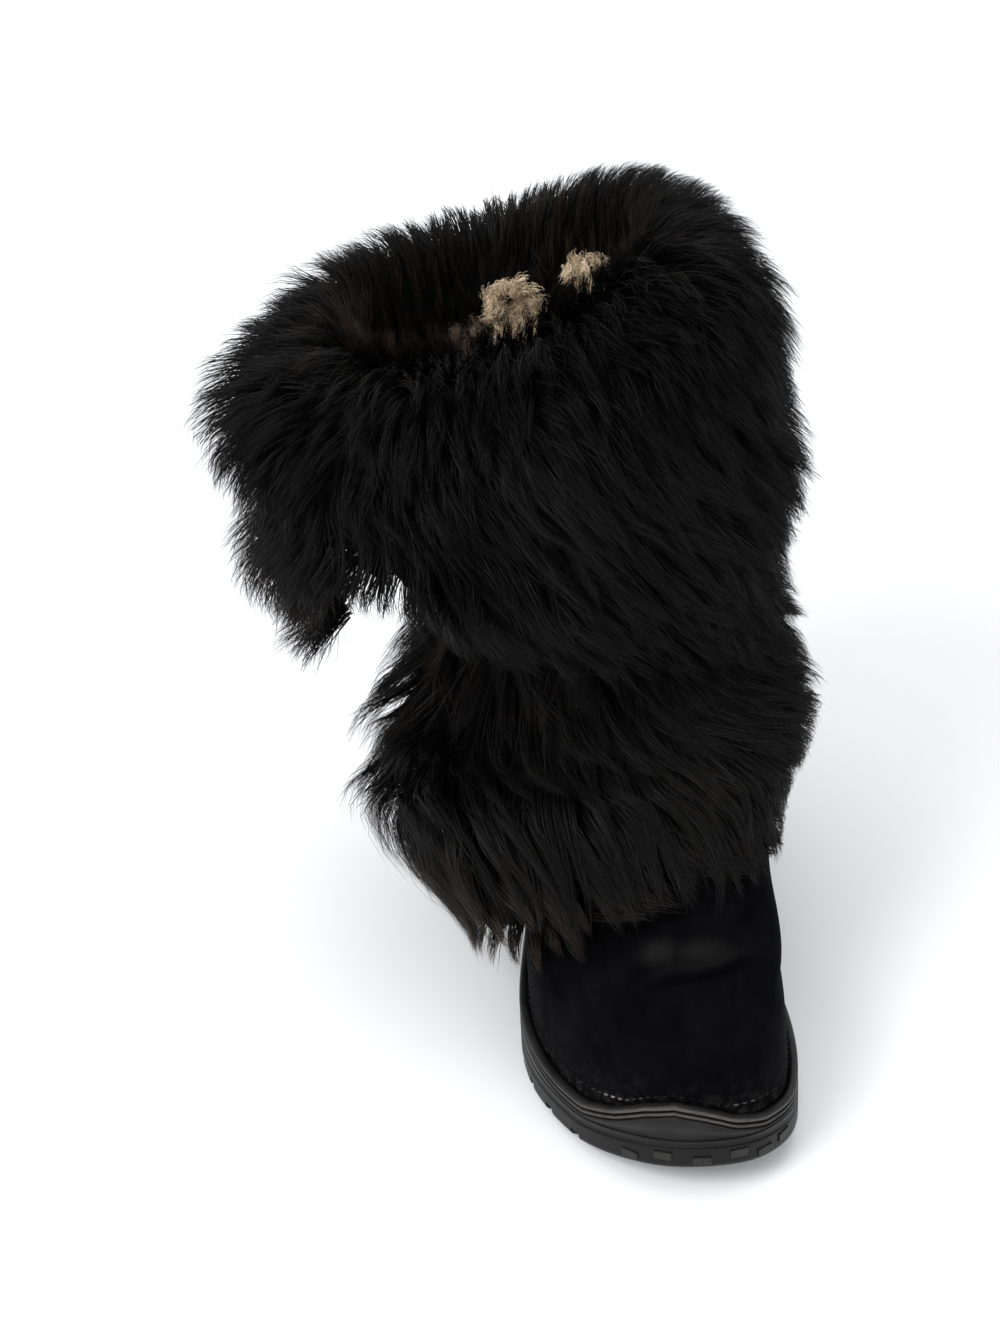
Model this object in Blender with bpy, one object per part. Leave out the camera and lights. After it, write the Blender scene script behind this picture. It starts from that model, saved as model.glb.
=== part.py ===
"""A right-foot mukluk boot, standing empty: a suede shell on a cupped rubber sole, with a long-haired fur
shaft and a turned-down fur cuff whose mouth flops to the outer side.

Metres, +Z up. The toe points to -Y, the wearer's inner side is +X and the outer side is -X. The origin is on
the floor, under the middle of the heel.

Two numbers find a place on the boot. "Around" runs from 0 at the heel's back, along the inner side to 0.5 at
the toe, and back along the outer side to 1. "Climb" runs from 0 at the sole to the last row of UPPER_ROWS at
the collar.
"""

import math
from collections import namedtuple

import bmesh
import bpy
from mathutils import Vector

# Driving sizes of the last and the sole
SOLE_LENGTH = 0.270
BALL_WIDTH = 0.103
HEEL_STACK = 0.030  # sole under the heel, from the floor to the upper's lower edge
TOE_SPRING = 0.012  # how far the toe's tip stands off the floor
HEEL_CENTRE = 0.12  # share of the sole's length from the heel's back to the origin
SOLE_EDGE = 0.0042  # the sole stands this far proud of the upper
OUTSOLE_THICKNESS = 0.0085
LUG_DEPTH = 0.0038
GROOVE_WIDTH = 0.0046
RAND_HEIGHT = 0.0062  # rolled rubber rim round the upper's base
RAND_TUCK = 0.0044  # the rim starts this far below the upper's lower edge, on the midsole's step
EDGE_SOFTENING = 0.0012  # rounding of the outsole's edges

# Driving sizes of the upper
COLLAR_RISE = 0.222  # from the sole's top to the collar
UPPER_WALL = 0.0026
INSOLE_THICKNESS = 0.0045

# Driving sizes of the fur
SHAFT_FUR_DEPTH = 0.036
CUFF_FUR_DEPTH = 0.046
CUFF_CROWN = 0.021  # fur standing above the fold
LOCK_DEPTH = 0.0034  # valleys between the locks
SHAFT_RAGGED = 0.045  # the locks' tips stagger by this share of the fur's run, and more at the hem
HEM_RAGGED = 0.06
CUFF_RAGGED = 0.05
CUFF_HEM_RAGGED = 0.09
LEAST_FUR = 0.003  # the shaft's fur is never thinner than this

# Clearances
SEAM_GAP = 0.0003  # between rubber, leather and insole
FUR_GAP = 0.0012  # between the fur's back and the leather

# Divisions of the faceted solids
SIDE_STEPS = 22
UPPER_RINGS = 19
FUR_LOCKS = 32
DENSE_STEPS = 40

# The sole's outline: share of its length from the heel's back, share of the ball's width to the inner side
OutlineRow = namedtuple("OutlineRow", "place along across")
OUTLINE_ROWS = (
    OutlineRow("heel back", 0.000, -0.010),
    OutlineRow("heel back, inner", 0.032, 0.225),
    OutlineRow("heel, inner", 0.125, 0.345),
    OutlineRow("arch", 0.400, 0.345),
    OutlineRow("first joint", 0.705, 0.500),
    OutlineRow("great toe", 0.890, 0.470),
    OutlineRow("great toe front", 0.977, 0.335),
    OutlineRow("toe tip", 1.000, 0.130),
    OutlineRow("third toe", 0.972, -0.130),
    OutlineRow("little toe", 0.872, -0.365),
    OutlineRow("fifth joint", 0.690, -0.500),
    OutlineRow("outer waist", 0.400, -0.390),
    OutlineRow("heel, outer", 0.125, -0.350),
    OutlineRow("heel back, outer", 0.032, -0.245),
)

# Side view of the sole: the tread's height as a share of the toe spring, the whole sole as a share of the
# heel stack, and the outsole as a share of its thickness
SoleRow = namedtuple("SoleRow", "along lift stack outsole")
SOLE_ROWS = (
    SoleRow(0.00, 0.20, 0.97, 1.25),
    SoleRow(0.05, 0.00, 1.00, 1.10),
    SoleRow(0.26, 0.00, 0.97, 1.00),
    SoleRow(0.38, 0.34, 0.76, 0.90),
    SoleRow(0.50, 0.00, 0.75, 0.95),
    SoleRow(0.74, 0.00, 0.64, 1.00),
    SoleRow(0.88, 0.28, 0.61, 1.05),
    SoleRow(1.00, 1.00, 0.60, 1.15),
)

# Round the rim: how far its upper edge stands over the upper's lower edge, as a share of the rim's height. It
# rises to a peak over the toe, between two dips
RimRow = namedtuple("RimRow", "around rise")
RIM_ROWS = (
    RimRow(0.00, 1.00),
    RimRow(0.30, 1.00),
    RimRow(0.38, 0.70),
    RimRow(0.43, 0.38),
    RimRow(0.46, 0.38),
    RimRow(0.49, 0.85),
    RimRow(0.512, 1.65),
    RimRow(0.53, 2.05),
    RimRow(0.552, 1.70),
    RimRow(0.577, 0.90),
    RimRow(0.605, 0.40),
    RimRow(0.63, 0.45),
    RimRow(0.67, 0.85),
    RimRow(0.72, 1.00),
    RimRow(1.00, 1.00),
)

# The rim's outer face, from its plain skirt up over two beads with a groove between them: inset as a share of
# the sole's edge, and drop below the upper edge as a share of the rim's height
BeadRow = namedtuple("BeadRow", "inset drop")
BEAD_ROWS = (
    BeadRow(0.00, 1.04),
    BeadRow(0.31, 0.90),
    BeadRow(0.08, 0.78),
    BeadRow(0.08, 0.62),
    BeadRow(0.42, 0.50),
    BeadRow(0.10, 0.38),
    BeadRow(0.08, 0.22),
    BeadRow(0.26, 0.08),
    BeadRow(0.57, 0.00),
)

# Rings of the upper, from the sole to the collar. Back and toe set-backs are shares of the sole's length,
# rises and tip shares of the collar's rise, width a share of the footprint's, rounding 0 for the footprint's
# outline and 1 for an ellipse, lean a share of the ball's width to the inner side. Tip lifts the inner side.
UpperRow = namedtuple("UpperRow", "place back_in back_up toe_in toe_up width rounding lean tip")
UPPER_ROWS = (
    UpperRow("feather line", 0.000, 0.000, 0.000, 0.000, 1.000, 0.00, 0.000, 0.000),
    UpperRow("rand line", 0.000, 0.057, 0.000, 0.055, 1.000, 0.00, 0.000, 0.000),
    UpperRow("toe wall", 0.000, 0.116, 0.008, 0.104, 0.998, 0.00, 0.000, 0.000),
    UpperRow("toe shoulder", 0.002, 0.163, 0.028, 0.147, 0.985, 0.00, 0.000, 0.000),
    UpperRow("toe top", 0.006, 0.205, 0.075, 0.177, 0.955, 0.04, 0.000, 0.000),
    UpperRow("toe crown", 0.010, 0.247, 0.140, 0.208, 0.962, 0.12, 0.025, 0.000),
    UpperRow("vamp", 0.015, 0.290, 0.215, 0.244, 0.975, 0.24, 0.056, 0.000),
    UpperRow("flex line", 0.020, 0.330, 0.285, 0.290, 0.988, 0.38, 0.082, 0.000),
    UpperRow("instep", 0.024, 0.372, 0.350, 0.348, 0.988, 0.52, 0.092, 0.000),
    UpperRow("high instep", 0.027, 0.425, 0.405, 0.420, 0.975, 0.68, 0.092, 0.000),
    UpperRow("throat", 0.027, 0.485, 0.452, 0.505, 0.962, 0.84, 0.060, 0.000),
    UpperRow("ankle", 0.024, 0.555, 0.485, 0.590, 0.955, 0.94, 0.010, 0.003),
    UpperRow("above ankle", 0.022, 0.635, 0.505, 0.670, 0.985, 1.00, -0.052, 0.010),
    UpperRow("low calf", 0.024, 0.720, 0.520, 0.750, 1.040, 1.00, -0.115, 0.024),
    UpperRow("calf", 0.030, 0.810, 0.532, 0.825, 1.120, 1.00, -0.185, 0.042),
    UpperRow("below collar", 0.038, 0.905, 0.542, 0.910, 1.230, 1.00, -0.270, 0.065),
    UpperRow("collar", 0.045, 1.000, 0.550, 1.000, 1.360, 1.00, -0.360, 0.090),
)
COLLAR = len(UPPER_ROWS) - 1

# Down the shaft's fur from under the cuff to the tips: how far down, and the fur's depth as a share. Paired
# rows are the steps where a tier of locks lies over the next.
FurRow = namedtuple("FurRow", "down depth")
SHAFT_FUR_ROWS = (
    FurRow(0.00, 0.16),
    FurRow(0.16, 0.30),
    FurRow(0.26, 0.62),
    FurRow(0.27, 0.54),
    FurRow(0.40, 0.84),
    FurRow(0.50, 1.08),
    FurRow(0.51, 0.92),
    FurRow(0.64, 1.06),
    FurRow(0.76, 1.10),
    FurRow(0.77, 0.90),
    FurRow(0.90, 0.62),
    FurRow(1.00, 0.24),
)

SHAFT_TIER_ENDS = (2, 3, 5, 6, 8, 9)  # rows where one tier of locks ends over the next

# Where the shaft's fur ends round the boot: climb of the tips, the depth as a share of the fur's depth, and
# how far the tips hang below the leather there, as the same share
HemRow = namedtuple("HemRow", "around tips depth hang")
HEM_ROWS = (
    HemRow(0.00, 4.4, 0.85, 0.10),
    HemRow(0.18, 6.2, 0.62, 0.00),
    HemRow(0.34, 7.2, 0.58, 0.00),
    HemRow(0.44, 7.2, 0.62, 0.00),
    HemRow(0.50, 7.0, 0.72, 0.00),
    HemRow(0.57, 6.2, 0.90, 0.00),
    HemRow(0.63, 5.4, 1.12, 0.10),
    HemRow(0.70, 3.7, 1.48, 0.30),
    HemRow(0.80, 2.9, 1.48, 0.40),
    HemRow(0.90, 3.6, 1.10, 0.25),
    HemRow(1.00, 4.4, 0.85, 0.10),
)
SHAFT_FUR_TOP = 13.4  # climb where the cuff hides the shaft's fur

# The cuff from the fold to the tips: how far down, rise over the fold as a share of the crown, and the
# distance from the leather as a share of the fur's depth
CuffRow = namedtuple("CuffRow", "down rise out")
CUFF_OUTER_ROWS = (
    CuffRow(0.000, 0.90, 0.36),
    CuffRow(0.000, 0.50, 0.76),
    CuffRow(0.060, 0.00, 0.98),
    CuffRow(0.200, 0.00, 1.04),
    CuffRow(0.340, 0.00, 1.04),
    CuffRow(0.355, 0.00, 0.90),
    CuffRow(0.500, 0.00, 1.00),
    CuffRow(0.660, 0.00, 1.02),
    CuffRow(0.675, 0.00, 0.88),
    CuffRow(0.840, 0.00, 0.84),
    CuffRow(1.000, 0.00, 0.68),
)
CUFF_TIER_ENDS = (4, 5, 7, 8)  # rows where one tier of locks ends over the next
# The cuff's back, from under the fold to behind its tips
CUFF_BACK_ROWS = (
    CuffRow(0.150, 0.00, 0.10),
    CuffRow(0.450, 0.00, 0.22),
    CuffRow(0.800, 0.00, 0.42),
)
# The cuff's back against the leather's inside, up to the collar's edge
CUFF_HOOK_ROWS = (
    CuffRow(0.170, 0.00, 0.00),
    CuffRow(0.080, 0.00, 0.00),
    CuffRow(0.000, 0.05, 0.00),
)
# The part turned in over the collar, from the crown to its edge inside, measured from the leather's inside
CUFF_INSIDE_ROWS = (
    CuffRow(0.000, 1.00, 0.05),
    CuffRow(0.000, 0.80, -0.12),
    CuffRow(0.000, 0.10, -0.22),
    CuffRow(0.120, 0.00, -0.18),
    CuffRow(0.200, 0.00, -0.06),
)
# Round the cuff: climb of its tips, the fur's depth, how far it stands out at the tips, and the crown's share
SpreadRow = namedtuple("SpreadRow", "around tips depth flare crown")
SPREAD_ROWS = (
    SpreadRow(0.00, 11.6, 0.92, 0.15, 1.38),
    SpreadRow(0.13, 11.7, 0.90, 0.05, 1.56),
    SpreadRow(0.25, 11.8, 0.90, 0.00, 1.46),
    SpreadRow(0.38, 11.7, 0.88, 0.05, 1.62),
    SpreadRow(0.50, 11.6, 0.90, 0.10, 1.80),
    SpreadRow(0.58, 11.8, 0.95, 0.38, 1.75),
    SpreadRow(0.65, 12.7, 1.01, 0.75, 1.71),
    SpreadRow(0.70, 11.5, 1.06, 1.18, 1.76),
    SpreadRow(0.75, 10.5, 1.08, 1.32, 1.80),
    SpreadRow(0.80, 10.8, 1.08, 1.12, 1.87),
    SpreadRow(0.86, 11.4, 1.08, 0.85, 1.90),
    SpreadRow(0.93, 11.5, 1.00, 0.45, 1.68),
    SpreadRow(1.00, 11.6, 0.92, 0.15, 1.38),
)

# Chevron grooves across the tread: share of the sole's length, and how far the point leads, in lengths
GrooveRow = namedtuple("GrooveRow", "along lead")
GROOVE_ROWS = (
    GrooveRow(0.045, 0.012),
    GrooveRow(0.200, -0.012),
    GrooveRow(0.275, -0.012),
    GrooveRow(0.465, 0.016),
    GrooveRow(0.525, 0.016),
    GrooveRow(0.585, 0.016),
    GrooveRow(0.700, 0.016),
    GrooveRow(0.760, 0.016),
    GrooveRow(0.820, 0.016),
    GrooveRow(0.880, 0.016),
)
TOE_LUGS = 6
TOE_LUG_SIZE = (0.0070, 0.0030, 0.0036)  # across, out of the wall, up

RUBBER_COLOUR = (0.020, 0.019, 0.018)
SUEDE_COLOUR = (0.010, 0.010, 0.012)
FUR_COLOUR = (0.009, 0.008, 0.008)
FELT_COLOUR = (0.42, 0.36, 0.27)


def smooth_row(rows, key, at):
    """The row at a value of its key column, on a smooth curve through the table."""
    keys = [getattr(row, key) for row in rows]
    at = min(max(at, keys[0]), keys[-1])
    i = 0
    while i < len(rows) - 2 and at > keys[i + 1]:
        i += 1
    return blend_rows(rows, i, (at - keys[i]) / (keys[i + 1] - keys[i]))


def blend_rows(rows, i, share):
    """Every number column between rows i and i + 1, with the slopes that their neighbours give."""
    before, low, high, after = (rows[min(max(k, 0), len(rows) - 1)] for k in (i - 1, i, i + 1, i + 2))
    mixed = []
    for a, b, c, d in zip(before, low, high, after):
        if isinstance(b, str):
            mixed.append(b)
            continue
        slope_b, slope_c = (c - a) / 2, (d - b) / 2
        s2, s3 = share * share, share**3
        mixed.append(
            b * (2 * s3 - 3 * s2 + 1)
            + slope_b * (s3 - 2 * s2 + share)
            + c * (3 * s2 - 2 * s3)
            + slope_c * (s3 - s2)
        )
    return type(low)(*mixed)


def straight_row(rows, key, at):
    """The row at a value of its key column, on straight lines through a table of numbers."""
    for low, high in zip(rows, rows[1:]):
        if at <= getattr(high, key):
            break
    span = getattr(high, key) - getattr(low, key)
    share = min(max((at - getattr(low, key)) / span, 0), 1)
    return type(low)(*(a + (b - a) * share for a, b in zip(low, high)))


def outline_curve():
    """The sole's outline as points (x, y), dense and closed, from the heel's back round the inner side."""
    count = len(OUTLINE_ROWS)
    ring = [OUTLINE_ROWS[k % count] for k in range(-1, count + 2)]
    points = []
    for k in range(count):
        for step in range(DENSE_STEPS):
            row = blend_rows(ring[k : k + 4], 1, step / DENSE_STEPS)
            points.append(Vector((row.across * BALL_WIDTH, (HEEL_CENTRE - row.along) * SOLE_LENGTH)))
    return points


def inset_curve(points, inset):
    """A closed curve moved inwards by a distance."""
    moved = []
    for k, point in enumerate(points):
        tangent = points[(k + 1) % len(points)] - points[k - 1]
        outward = Vector((-tangent.y, tangent.x)).normalized()
        if outward.dot(point - Vector((0, HEEL_CENTRE * SOLE_LENGTH - SOLE_LENGTH / 2))) < 0:
            outward = -outward
        moved.append(point - outward * inset)
    return moved


class Footprint:
    """An outline that gives, for a place around the boot, its width and its place along the boot."""

    def __init__(self, inset):
        curve = inset_curve(outline_curve(), inset)
        back = max(range(len(curve)), key=lambda k: curve[k].y)
        curve = curve[back:] + curve[:back]
        toe = min(range(len(curve)), key=lambda k: curve[k].y)
        self.inner = curve[: toe + 1]
        self.outer = [curve[0]] + curve[:toe - 1 : -1]
        self.back, self.toe = curve[0].y, curve[toe].y

    def along(self, around):
        return (1 - math.cos(2 * math.pi * around)) / 2

    def across(self, around):
        """x at a place around, read from the inner or the outer side."""
        side = self.inner if around % 1 <= 0.5 else self.outer
        y = self.back + (self.toe - self.back) * self.along(around)
        for a, b in zip(side, side[1:]):
            if b.y <= y:
                share = (a.y - y) / (a.y - b.y) if a.y > b.y else 0
                return a.x + (b.x - a.x) * share
        return side[-1].x

    def point(self, around):
        return Vector((self.across(around), self.back + (self.toe - self.back) * self.along(around)))


def place_along(y):
    """Share of the sole's length at a y."""
    return HEEL_CENTRE - y / SOLE_LENGTH


def tread_height(y):
    return straight_row(SOLE_ROWS, "along", place_along(y)).lift * TOE_SPRING


def outsole_top(y):
    row = straight_row(SOLE_ROWS, "along", place_along(y))
    return tread_height(y) + row.outsole * OUTSOLE_THICKNESS


def feather_height(y):
    """Top of the sole, where the upper's lower edge sits."""
    row = smooth_row(SOLE_ROWS, "along", place_along(y))
    return row.lift * TOE_SPRING + row.stack * HEEL_STACK


UPPER_FOOTPRINT = Footprint(SOLE_EDGE)


def upper_surface(climb, around):
    """A point on the upper's outer face."""
    low = min(int(climb), COLLAR - 1)
    row = blend_rows(UPPER_ROWS, low, climb - low)
    share = UPPER_FOOTPRINT.along(around)
    back = UPPER_FOOTPRINT.back - row.back_in * SOLE_LENGTH
    toe = UPPER_FOOTPRINT.toe + row.toe_in * SOLE_LENGTH
    y = back + (toe - back) * share
    swing = math.sin(2 * math.pi * around)
    half_width = BALL_WIDTH / 2 - SOLE_EDGE
    x = UPPER_FOOTPRINT.across(around) * (1 - row.rounding) + swing * half_width * row.rounding
    rise = row.back_up + (row.toe_up - row.back_up) * share + row.tip * swing
    height = feather_height(y) + SEAM_GAP + rise * COLLAR_RISE
    return Vector((x * row.width + row.lean * BALL_WIDTH, y, height))


def upper_normal(climb, around):
    """The outward direction of the upper's outer face."""
    reach = 0.02
    low, high = max(climb - reach, 0), min(climb + reach, COLLAR)
    up = upper_surface(high, around) - upper_surface(low, around)
    along = upper_surface(climb, around + 0.002) - upper_surface(climb, around - 0.002)
    normal = along.cross(up).normalized()
    middle = Vector((0, upper_surface(climb, 0.25).y, 0))
    outward = upper_surface(climb, around) - middle
    return normal if normal.dot(Vector((outward.x, outward.y, 0.02))) > 0 else -normal


def offset_upper(climb, around, distance):
    return upper_surface(climb, around) + upper_normal(climb, around) * distance


def material(name, colour, roughness):
    made = bpy.data.materials.new(name)
    made.use_nodes = True
    shader = made.node_tree.nodes["Principled BSDF"]
    shader.inputs["Base Color"].default_value = (*colour, 1)
    shader.inputs["Roughness"].default_value = roughness
    shader.inputs["Metallic"].default_value = 0
    return made


def add_object(name, points, faces, look):
    mesh = bpy.data.meshes.new(name)
    mesh.from_pydata([tuple(p) for p in points], [], faces)
    shape = bmesh.new()
    shape.from_mesh(mesh)
    bmesh.ops.recalc_face_normals(shape, faces=shape.faces)
    if shape.calc_volume(signed=True) < 0:
        bmesh.ops.reverse_faces(shape, faces=shape.faces)
    shape.to_mesh(mesh)
    shape.free()
    mesh.shade_smooth()
    mesh.materials.append(look)
    made = bpy.data.objects.new(name, mesh)
    bpy.context.scene.collection.objects.link(made)
    return made


def loop_solid(name, rings, look):
    """A solid whose wall is a closed loop of rings, each ring a closed loop of points."""
    count = len(rings[0])
    faces = []
    for i in range(len(rings)):
        low, high = i * count, (i + 1) % len(rings) * count
        for j in range(count):
            k = (j + 1) % count
            faces.append((low + j, low + k, high + k, high + j))
    return add_object(name, [p for ring in rings for p in ring], faces, look)


def slab(name, levels, look):
    """A solid of stacked outlines, its ends closed by strips from the inner side to the outer side."""
    count = len(levels[0])
    faces = []
    for i in range(len(levels) - 1):
        low, high = i * count, (i + 1) * count
        for j in range(count):
            k = (j + 1) % count
            faces.append((low + j, low + k, high + k, high + j))
    for first in (0, (len(levels) - 1) * count):
        for j in range(count // 2):
            strip = (j, j + 1, count - j - 1, (count - j) % count)
            kept = list(dict.fromkeys(first + v for v in strip))
            faces.append(kept)
    return add_object(name, [p for level in levels for p in level], faces, look)


def arounds(count):
    return [k / count for k in range(count)]


def sole_level(inset, height):
    """One outline of a sole layer, at a height that a function of y gives."""
    footprint = Footprint(inset)
    points = [footprint.point(around) for around in arounds(2 * SIDE_STEPS)]
    return [Vector((p.x, p.y, height(p.y))) for p in points]


def chevron(row):
    """A V-shaped bar across the tread, its point ahead or behind."""
    reach, rise = BALL_WIDTH * 0.62, LUG_DEPTH
    y, lead = (HEEL_CENTRE - row.along) * SOLE_LENGTH, row.lead * SOLE_LENGTH
    half = GROOVE_WIDTH / 2
    plan = (
        (-reach, y + lead - half), (0, y - lead - half), (reach, y + lead - half),
        (reach, y + lead + half), (0, y - lead + half), (-reach, y + lead + half),
    )
    floor = tread_height(y) - 2 * LUG_DEPTH
    points = [Vector((px, py, z)) for z in (floor, tread_height(y) + rise) for px, py in plan]
    faces = [(0, 1, 4, 5), (1, 2, 3, 4), (6, 7, 10, 11), (7, 8, 9, 10)]
    faces += [(k, (k + 1) % 6, (k + 1) % 6 + 6, k + 6) for k in range(6)]
    return points, faces


def make_groove_cutter():
    points, faces = [], []
    for row in GROOVE_ROWS:
        more_points, more_faces = chevron(row)
        faces += [tuple(v + len(points) for v in face) for face in more_faces]
        points += more_points
    cutter = add_object("tread_grooves", points, faces, material("cutter", RUBBER_COLOUR, 1))
    cutter.hide_render = True
    cutter.display_type = "WIRE"
    return cutter


def make_toe_lugs(look):
    """Small blocks on the toe's front wall, as one helper that the outsole takes in."""
    footprint = Footprint(0)
    across, out, up = TOE_LUG_SIZE
    points, faces = [], []
    for k in range(TOE_LUGS):
        around = 0.5 + (k - (TOE_LUGS - 1) / 2) * 0.026
        centre = footprint.point(around)
        side = (footprint.point(around + 0.004) - footprint.point(around - 0.004)).normalized()
        outward = Vector((side.y, -side.x))
        if outward.y > 0:
            outward = -outward
        base = tread_height(centre.y) + OUTSOLE_THICKNESS * (0.25 if k % 2 else 0.52)
        first = len(points)
        for z in (base, base + up):
            for a, b in ((-1, -1), (1, -1), (1, 1), (-1, 1)):
                spot = centre + side * a * across / 2 + outward * (b * out / 2 - out * 0.30)
                points.append(Vector((spot.x, spot.y, z)))
        box = ((0, 1, 2, 3), (4, 5, 6, 7), (0, 1, 5, 4), (1, 2, 6, 5), (2, 3, 7, 6), (3, 0, 4, 7))
        faces += [tuple(first + v for v in face) for face in box]
    lugs = add_object("toe_lug_blocks", points, faces, look)
    lugs.hide_render = True
    lugs.display_type = "WIRE"
    return lugs


def cut(target, other, operation):
    change = target.modifiers.new(operation.lower(), "BOOLEAN")
    change.operation = operation
    change.object = other
    change.solver = "EXACT"


def make_outsole(look):
    """The tread: toe spring and heel from the side view, lugs on the toe's wall, chevron grooves below."""
    bevel = EDGE_SOFTENING
    levels = [
        sole_level(bevel * 1.6, tread_height),
        sole_level(bevel * 0.4, lambda y: tread_height(y) + bevel),
        sole_level(0, lambda y: tread_height(y) + LUG_DEPTH),
        sole_level(bevel / 3, lambda y: outsole_top(y) - bevel / 2),
        sole_level(bevel, outsole_top),
    ]
    outsole = slab("outsole", levels, look)
    cut(outsole, make_toe_lugs(look), "UNION")
    cut(outsole, make_groove_cutter(), "DIFFERENCE")
    return outsole


def make_midsole(look):
    """The thick middle layer, its side drawn in a little at the bottom, with a step that carries the rand."""
    def level(inset, share, drop=0.0):
        low, top = SEAM_GAP, 0.0
        return sole_level(
            inset,
            lambda y: (outsole_top(y) + low) * (1 - share) + (feather_height(y) + top) * share - drop,
        )

    step = RAND_TUCK + SEAM_GAP
    rand_inset = SOLE_EDGE + SEAM_GAP
    levels = [
        level(0.0012, 0.0),
        level(0.0003, 0.08),
        level(0.0000, 0.18),
        level(0.0003, 1.0, step + 0.0012),
        level(0.0009, 1.0, step),
        level(rand_inset, 1.0, step),
        level(rand_inset, 1.0),
    ]
    return slab("midsole", levels, look)


def make_rand(look):
    """The rolled rim round the upper's base: two beads over a plain skirt, riding up to the toe's peak."""
    inside = SOLE_EDGE - 2 * SEAM_GAP
    rings = [sole_level(inset, lambda y: feather_height(y) - RAND_TUCK) for inset in (inside, 0)]
    for inset, drop in [(row.inset * SOLE_EDGE, row.drop) for row in BEAD_ROWS] + [(inside, 0.04)]:
        footprint = Footprint(inset)
        ring = []
        for around in arounds(2 * SIDE_STEPS):
            p = footprint.point(around)
            rise = straight_row(RIM_ROWS, "around", around).rise - drop
            ring.append(Vector((p.x, p.y, feather_height(p.y) + rise * RAND_HEIGHT)))
        rings.append(ring)
    return loop_solid("rand", rings, look)


def make_insole(look):
    inset = SOLE_EDGE + UPPER_WALL + 2 * SEAM_GAP
    levels = [
        sole_level(inset, lambda y: feather_height(y) + 1.5 * SEAM_GAP),
        sole_level(inset, lambda y: feather_height(y) + INSOLE_THICKNESS * 0.8),
        sole_level(inset + INSOLE_THICKNESS * 0.3, lambda y: feather_height(y) + INSOLE_THICKNESS),
    ]
    return slab("insole", levels, look)


def make_upper(look):
    climbs = [COLLAR * k / (UPPER_RINGS - 1) for k in range(UPPER_RINGS)]
    outer = [[upper_surface(c, a) for a in arounds(2 * SIDE_STEPS)] for c in climbs]
    inner = [[offset_upper(c, a, -UPPER_WALL) for a in arounds(2 * SIDE_STEPS)] for c in climbs]
    for ring, climb in ((inner[0], outer[0]), (inner[-1], outer[-1])):
        for point, beside in zip(ring, climb):
            point.z = beside.z
    return loop_solid("upper", outer + inner[::-1], look)


def lock_swing(index, tier):
    """1 on a lock's crest and -1 in the valley beside it. The next tier's crests lie over the valleys."""
    return 1 if (index + tier) % 2 else -1


def fall_direction(climb, around):
    """Outward for the fur: level round the shaft, square to the leather over the instep."""
    normal = upper_normal(climb, around)
    level = Vector((normal.x, normal.y, 0)).normalized()
    share = min(max((climb - 8) / 3, 0), 1)
    return (normal * (1 - share) + level * share).normalized()


def make_shaft_fur(look):
    """The long-haired sleeve: tiers of locks over the leather, ragged where the tips hang."""
    places = arounds(2 * FUR_LOCKS)
    outer = []
    for number, fur in enumerate(SHAFT_FUR_ROWS):
        ring = []
        for index, around in enumerate(places):
            hem = smooth_row(HEM_ROWS, "around", around)
            tier = number // 3
            crest = lock_swing(index, tier)
            ragged = 0
            if number in SHAFT_TIER_ENDS:
                ragged = SHAFT_RAGGED * crest
            if fur.down == 1:
                ragged = HEM_RAGGED * crest * (1 + 0.5 * math.sin(index * 2.3))
            down = fur.down + ragged
            climb = SHAFT_FUR_TOP + (hem.tips - SHAFT_FUR_TOP) * down
            depth = fur.depth * hem.depth * SHAFT_FUR_DEPTH + crest * LOCK_DEPTH * min(fur.down * 3, 1) / 2
            if fur.down == 1:
                depth = fur.depth * hem.depth**2 * SHAFT_FUR_DEPTH
            outward = fall_direction(climb, around) * (FUR_GAP + max(depth, LEAST_FUR))
            hang = Vector((0, 0, -hem.hang * SHAFT_FUR_DEPTH * down**3))
            ring.append(upper_surface(climb, around) + outward + hang)
        outer.append(ring)
    inner = []
    for share in (1.0, 0.86, 0.70, 0.55, 0.40, 0.26, 0.13, 0.0):
        ring = []
        for index, around in enumerate(places):
            hem = smooth_row(HEM_ROWS, "around", around)
            crest = lock_swing(index, len(SHAFT_FUR_ROWS) // 3)
            down = share + (SHAFT_RAGGED * crest if share == 1 else 0)
            climb = SHAFT_FUR_TOP + (hem.tips - SHAFT_FUR_TOP) * down
            ring.append(offset_upper(climb, around, FUR_GAP))
        inner.append(ring)
    return loop_solid("shaft_fur", outer + inner, look)


def cuff_point(around, down, rise, out, skin):
    """A point of the cuff: down the leather from the collar, skin away from it, then up and outwards."""
    spread = smooth_row(SPREAD_ROWS, "around", around)
    climb = COLLAR + (spread.tips - COLLAR) * down
    reach = out * (spread.depth + spread.flare * max(down, 0) ** 2)
    normal = upper_normal(climb, around)
    level = Vector((normal.x, normal.y, 0)).normalized()
    lift = Vector((0, 0, rise * CUFF_CROWN * spread.crown))
    return upper_surface(climb, around) + normal * skin + level * reach * CUFF_FUR_DEPTH + lift


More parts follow.
